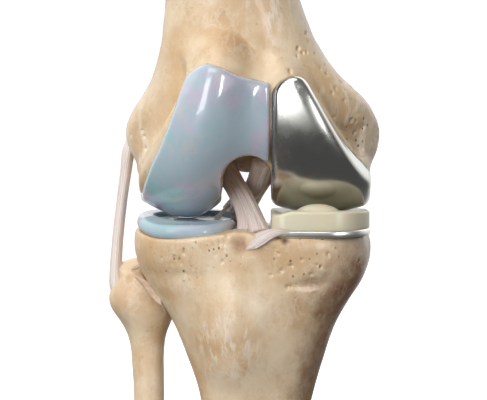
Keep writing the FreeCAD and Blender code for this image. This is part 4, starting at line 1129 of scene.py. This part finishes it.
# Cement squeezed out between the rim of the component and the bone.
def buildCementSeam():
    outline = componentOutline()
    near, far = inwardRings(outline, componentSpine, [0.9, 4.5], 1)[:2]
    row = np.arange(len(outline))
    wave = 0.12 * np.sin(row * 0.31) + 0.1 * np.sin(row * 0.83)
    rings = []
    for flat, depth in ((near, -0.1), (far, -0.1), (far, 2.6), (near, 2.2), (near, -0.1)):
        _, inner, inward = wrapSheet(flat, 0.0)
        rings.append(inner + inward * (depth + wave * (depth > 0))[:, None])
    faces = ringFaces(len(rings), len(outline))
    seam = newPiece("cementSeam", np.vstack(rings) * mm, faces, finishes["cement"])
    closeSeams(seam)
    return seam


femoralComponent = buildComponent()
cementSeam = buildCementSeam()
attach(cementSeam, "thigh")
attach(femoralComponent, "thigh")
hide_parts("femoral_component")

print("bearing insert and tray")

insertShape = {
    "left": 6.2, "right": 38.2, "front": -19.7, "back": 24.7, "outer": 13.7, "inner": 4.7,
    "frontTop": 82.4, "backTop": 79.4, "edge": 1.1, "leftDip": 1.2,
    "hollow": 1.6, "lipFront": -17.5, "lipRise": 2.3, "lipWide": 6.9,
    # height and inset of the rings of the wall and the bottom
    "sections": [(77.4, 0.0), (76.3, 0.0), (76.06, 0.08), (76.0, 0.3), (76.0, 8.0)],
}


def plateOutline(shape, count):
    corners = [
        (shape["left"], shape["front"], shape["inner"]),
        (shape["right"], shape["front"], shape["outer"]),
        (shape["right"], shape["back"], shape["outer"]),
        (shape["left"], shape["back"], shape["inner"]),
    ]
    return roundedOutline(corners, count)


def buildInsert():
    shape = insertShape
    outline = plateOutline(shape, 300)
    middle = (shape["left"] + shape["right"]) / 2
    rings = inwardRings(outline, ((middle, -8.0), (middle, 12.0)), rimDepths(shape["edge"], 7), 22)
    flat = np.vstack(rings)
    x, y = flat.T
    slope = np.clip((y - (shape["front"] + 6)) / (shape["back"] - shape["front"] - 6), 0, 1)
    top = shape["frontTop"] + (shape["backTop"] - shape["frontTop"]) * slope
    top = top - shape["leftDip"] * (1 - step(7.5, 13.5, x)) * (1 - step(-14, -6, y))
    # behind the front rim the surface falls towards the contact, but for a raised lip in its middle
    hollow = shape["hollow"] * step(shape["lipFront"], -7, y) * (1 - step(6, 20, y))
    hollow = hollow * step(-0.5, 5.0, x - shape["left"]) * step(-0.5, 5.0, shape["right"] - x)
    lip = 1 - ((x - middle + 1.0) / shape["lipWide"]) ** 2 - ((y + 14.2) / 4.6) ** 2
    top = top - hollow + shape["lipRise"] * np.clip(lip, 0, 1) ** 0.7
    reach = joint["rearRadius"] + joint["gap"] - crownDrop(x)
    dish = joint["axisZ"] - np.sqrt(np.clip(reach**2 - (y - joint["axisY"]) ** 2, 1, None))
    height = softMin(top, dish, 0.5) - rimDrop(flat, outline, shape["edge"])
    walls = sectionRings(outline, shape["sections"])
    faces = [ringFaces(len(rings), len(outline))]
    previous = np.arange(len(outline))
    for index in range(len(walls)):
        previous = joinRing(faces, previous, len(flat) + index * len(outline))
    points = np.vstack([np.column_stack([flat, height]), *walls]) * mm
    piece = newPiece("bearingInsert", points, np.vstack(faces), finishes["plastic"])
    closeSeams(piece)
    return piece


bearingInsert = buildInsert()
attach(bearingInsert, "lower_leg")
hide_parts("tibial_insert")

trayShape = {
    "left": 5.9, "right": 38.5, "front": -20.0, "back": 25.0, "outer": 14.0, "inner": 5.0,
    "bottom": 73.7, "top": 76.0, "edge": 0.35, "bulge": 0.2,
}


def buildTray():
    shape = trayShape
    bottom, top, edge = shape["bottom"], shape["top"], shape["edge"]
    outline = plateOutline(shape, 300)
    sections = [(bottom, 9.0), (bottom, edge)]
    for turn in np.linspace(math.pi / 2, 0, 5)[1:]:
        sections.append((bottom + edge - edge * math.sin(turn), edge - edge * math.cos(turn)))
    for share in np.linspace(0, 1, 8)[1:-1]:
        sections.append((bottom + edge + share * (top - bottom - 2 * edge), 0.0))
    for turn in np.linspace(0, math.pi / 2, 5):
        sections.append((top - edge + edge * math.sin(turn), edge - edge * math.cos(turn)))
    sections.append((top, 9.0))
    middle = (bottom + top) / 2
    sections = [(z, inset + shape["bulge"] * (z - middle) ** 2) for z, inset in sections]
    points = np.vstack(sectionRings(outline, sections)) * mm
    faces = ringFaces(len(sections), len(outline))
    piece = newPiece("tibialTray", points, faces, finishes["tray"])
    closeSeams(piece)
    return piece


tibialTray = buildTray()
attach(tibialTray, "lower_leg")

print("ligaments")


def splinePath(points, count):
    points = np.array(points, float)
    padded = np.vstack([2 * points[0] - points[1], points, 2 * points[-1] - points[-2]])
    path = []
    for spot in np.linspace(0, len(points) - 1, count):
        index = min(int(spot), len(points) - 2)
        share = spot - index
        a, b, c, d = padded[index : index + 4]
        square, cube = 2 * a - 5 * b + 4 * c - d, 3 * b - a - 3 * c + d
        path.append(0.5 * (2 * b + (c - a) * share + square * share**2 + cube * share**3))
    return np.array(path)


# Fibre coordinates: once around across the strand, and from one end to the other along it.
def addFibres(mesh, sides, count, around):
    corner = np.empty(len(mesh.loops), np.int32)
    mesh.loops.foreach_get("vertex_index", corner)
    ring, spot = np.divmod(corner, around)
    face = np.arange(len(corner)) // 4
    closing = (face < sides) & (face % around == around - 1) & (spot == 0)
    u, v = np.where(closing, 1.0, spot / around), ring / (count - 1)
    tips = corner >= count * around
    u[tips], v[tips] = 0.5, corner[tips] - count * around
    layer = mesh.uv_layers.new(name="fibres")
    layer.data.foreach_set("uv", np.stack([u, v], 1).astype(np.float32).ravel())


# A fibrous strand: ring sections across the path, ridged by its bundles and flared at the ends.
def buildStrand(name, shape):
    random = np.random.default_rng(shape["seed"])
    count, around = 70, 96
    rows = np.array(shape["rows"])
    path = splinePath(rows[:, :3], count)
    along = np.gradient(path, axis=0)
    along /= np.linalg.norm(along, axis=1)[:, None]
    side = np.array(shape.get("slant", (1, 0, 0)), float)
    stations = np.linspace(0, 1, len(rows))
    halves, depths = (np.interp(np.linspace(0, 1, count), stations, rows[:, column]) for column in (3, 4))
    turn = np.linspace(0, 2 * math.pi, around, endpoint=False)
    phases = random.uniform(0, 2 * math.pi, 4)
    bundles = shape["bundles"]
    points = []
    for index in range(count):
        share = index / (count - 1)
        wide = side - along[index] * (side @ along[index])
        wide /= np.linalg.norm(wide)
        thick = np.cross(along[index], wide)
        twist = shape["twist"] * share
        ridge = np.abs(np.sin(bundles * (turn + twist) / 2 + phases[0])) ** 0.7
        fine = np.sin(3 * bundles * (turn + twist * 1.1) + phases[1] + 2 * math.sin(4 * share + phases[2]))
        radius = 1 - shape.get("groove", 0.12) * (1 - ridge) + 0.02 * fine
        across = np.outer(np.cos(turn) * radius * halves[index], wide)
        points.append(path[index] + across + np.outer(np.sin(turn) * radius * depths[index], thick))
    sides = ringFaces(count, around).tolist()
    total = count * around
    last = total - around
    caps = [[total, (spot + 1) % around, spot] for spot in range(around)]
    caps += [[total + 1, last + spot, last + (spot + 1) % around] for spot in range(around)]
    points = np.vstack([*points, path[:1], path[-1:]]) * mm
    piece = newPiece(name, points, sides + caps, finishes[shape["finish"]])
    addFibres(piece.data, len(sides), count, around)
    closeSeams(piece)
    return piece


# Rows from the lower to the upper end: place, half width and half depth in mm.
strands = {
    "aclInnerBundle": {
        "node": "acl_anteromedial_bundle", "finish": "front", "seed": 31, "slant": (1, 0.25, 0),
        "twist": 0.9, "bundles": 8,
        "rows": [
            (2.4, -12.5, 74.6, 3.6, 2.6), (1.2, -9.6, 78.6, 2.9, 2.3), (-1.6, -3.4, 84.4, 2.6, 2.3),
            (-4.9, 4.6, 89.4, 2.6, 2.4), (-8.4, 12.2, 94.2, 3.0, 2.6),
        ],
    },
    "aclOuterBundle": {
        "node": "acl_posterolateral_bundle", "finish": "front", "seed": 32, "slant": (1, 0.25, 0),
        "twist": 0.9, "bundles": 7,
        "rows": [
            (-1.9, -10.6, 74.6, 3.2, 2.6), (-2.4, -7.6, 78.4, 2.6, 2.3), (-4.2, -1.8, 83.6, 2.3, 2.3),
            (-6.8, 5.4, 88.0, 2.4, 2.4), (-9.4, 12.4, 91.6, 2.8, 2.6),
        ],
    },
    "pclOuterBundle": {
        "node": "pcl_anterolateral_bundle", "finish": "rear", "seed": 33, "slant": (1, 0, 0.3),
        "twist": -0.6, "bundles": 8,
        "rows": [
            (-8.6, 24.6, 65.5, 3.0, 2.0), (-7.9, 28.0, 71.4, 3.4, 2.6), (-6.4, 24.6, 76.4, 3.2, 2.8),
            (-2.8, 17.6, 82.2, 3.2, 2.8), (1.2, 9.8, 88.6, 3.4, 2.8), (3.6, 3.6, 96.4, 3.8, 2.8),
        ],
    },
    "pclInnerBundle": {
        "node": "pcl_posteromedial_bundle", "finish": "rear", "seed": 34, "slant": (1, 0, 0.3),
        "twist": -0.6, "bundles": 6,
        "rows": [
            (-4.4, 26.4, 64.0, 2.4, 1.6), (-3.7, 30.0, 70.4, 2.8, 2.2), (-2.4, 27.2, 76.6, 2.7, 2.4),
            (1.0, 20.6, 84.0, 2.7, 2.4), (4.2, 13.6, 90.0, 2.9, 2.4), (5.8, 8.6, 95.6, 3.2, 2.4),
        ],
    },
    "fibularCollateral": {
        "node": "fibular_collateral_ligament", "finish": "strap", "seed": 35, "twist": 0.15,
        "bundles": 6, "groove": 0.06,
        "rows": [
            (-43.4, 12.2, 50.5, 2.4, 3.0), (-45.0, 12.4, 56.0, 2.2, 3.2), (-44.5, 12.5, 68.0, 1.9, 2.8),
            (-43.0, 11.9, 82.0, 1.8, 2.7), (-41.6, 10.8, 92.0, 1.9, 2.9), (-40.4, 9.8, 100.0, 2.2, 3.4),
            (-37.2, 9.2, 108.5, 1.3, 2.6),
        ],
    },
    "meniscusStrand": {
        "node": "meniscofemoral_ligament", "finish": "rear", "seed": 36, "slant": (1, 0, -0.6),
        "twist": 0.3, "bundles": 5,
        "rows": [
            (-8.6, 24.2, 78.6, 1.6, 0.9), (-5.4, 25.0, 82.6, 1.3, 0.8), (-0.8, 24.2, 87.2, 1.3, 0.8),
            (3.0, 22.2, 92.0, 1.7, 0.9), (4.2, 20.6, 95.6, 1.9, 0.9),
        ],
    },
}

for name, shape in strands.items():
    strand = buildStrand(name, shape)
    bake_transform(strand)
    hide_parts(shape["node"])

# short bands that stay with the lower leg
bands = {
    "frontRootBand": {
        "node": "medial_meniscus_anterior_root", "finish": "front", "seed": 41,
        "slant": (0.35, -0.6, -0.75), "twist": 0.2, "bundles": 9,
        "rows": [
            (11.6, -20.2, 75.5, 0.6, 0.5), (8.6, -21.0, 75.9, 1.4, 0.9), (5.6, -21.4, 75.2, 2.0, 1.0),
            (2.8, -21.7, 73.9, 2.6, 0.8), (0.4, -21.7, 72.4, 2.4, 0.5), (-2.0, -21.2, 70.4, 0.5, 0.2),
        ],
    },
    "frontFibularBand": {
        "node": "anterior_tibiofibular_ligament", "finish": "film", "seed": 42,
        "slant": (0.8, -0.5, 0.3), "twist": 0.3, "bundles": 6,
        "rows": [
            (-38.4, 4.8, 58.4, 0.3, 0.2), (-36.2, 3.4, 57.2, 1.0, 0.5), (-34.0, 1.4, 55.6, 1.3, 0.6),
            (-32.4, -0.8, 54.0, 1.4, 0.7), (-30.6, -4.0, 51.8, 1.1, 0.5), (-29.6, -5.6, 50.4, 0.2, 0.2),
        ],
    },
    "rearFibularBand": {
        "node": "posterior_tibiofibular_ligament", "finish": "strap", "seed": 43,
        "slant": (0.4, 0.1, 0.9), "twist": 0.2, "bundles": 7,
        "rows": [
            (-18.6, 22.8, 62.6, 1.6, 0.3), (-21.4, 24.6, 61.0, 2.8, 0.9), (-25.6, 25.2, 58.6, 2.6, 1.0),
            (-30.4, 23.8, 55.4, 2.5, 1.0), (-33.6, 21.4, 53.2, 2.6, 0.9), (-35.6, 18.4, 51.8, 1.4, 0.3),
        ],
    },
    "upperFilm": {
        "finish": "film", "seed": 44, "slant": (0.5, -0.6, 0.6), "twist": 0.4, "bundles": 5,
        "rows": [
            (-39.6, 8.0, 60.4, 0.3, 0.2), (-38.0, 5.4, 61.4, 0.8, 0.5), (-37.0, 2.8, 62.2, 0.8, 0.5),
            (-36.6, 0.4, 62.0, 0.2, 0.2),
        ],
    },
    "lowerFilm": {
        "finish": "film", "seed": 45, "slant": (0.8, -0.5, 0.2), "twist": 0.5, "bundles": 4,
        "rows": [
            (-32.0, 2.8, 53.4, 0.2, 0.2), (-30.8, 2.6, 51.4, 0.8, 0.5), (-29.4, 2.8, 49.0, 0.7, 0.5),
            (-28.2, 3.4, 46.6, 0.2, 0.2),
        ],
    },
    "outerRootBand": {
        "finish": "front", "seed": 46, "slant": (0.6, 0, -0.8), "twist": 0.3, "bundles": 4,
        "rows": [
            (-12.6, -3.4, 76.8, 0.9, 0.5), (-11.2, 1.2, 78.4, 0.8, 0.5), (-9.2, 6.6, 80.2, 0.7, 0.5),
            (-7.4, 10.6, 81.6, 0.6, 0.5),
        ],
    },
}

for name, shape in bands.items():
    band = buildStrand(name, shape)
    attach(band, "lower_leg")
    if "node" in shape:
        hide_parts(shape["node"])

plainNodes = {
    "femoral_cement": "cement",
    "tibial_cement": "cement",
    "femur_spongy_core": "spongy",
    "tibia_spongy_core": "spongy",
    "fibula_spongy_core": "spongy",
    "tibiofibular_cartilage": "cartilage",
}
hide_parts("tibial_tray")
for name, key in plainNodes.items():
    mesh = nodes[name].data
    mesh.materials.clear()
    mesh.materials.append(finishes[key])

bpy.context.view_layer.update()
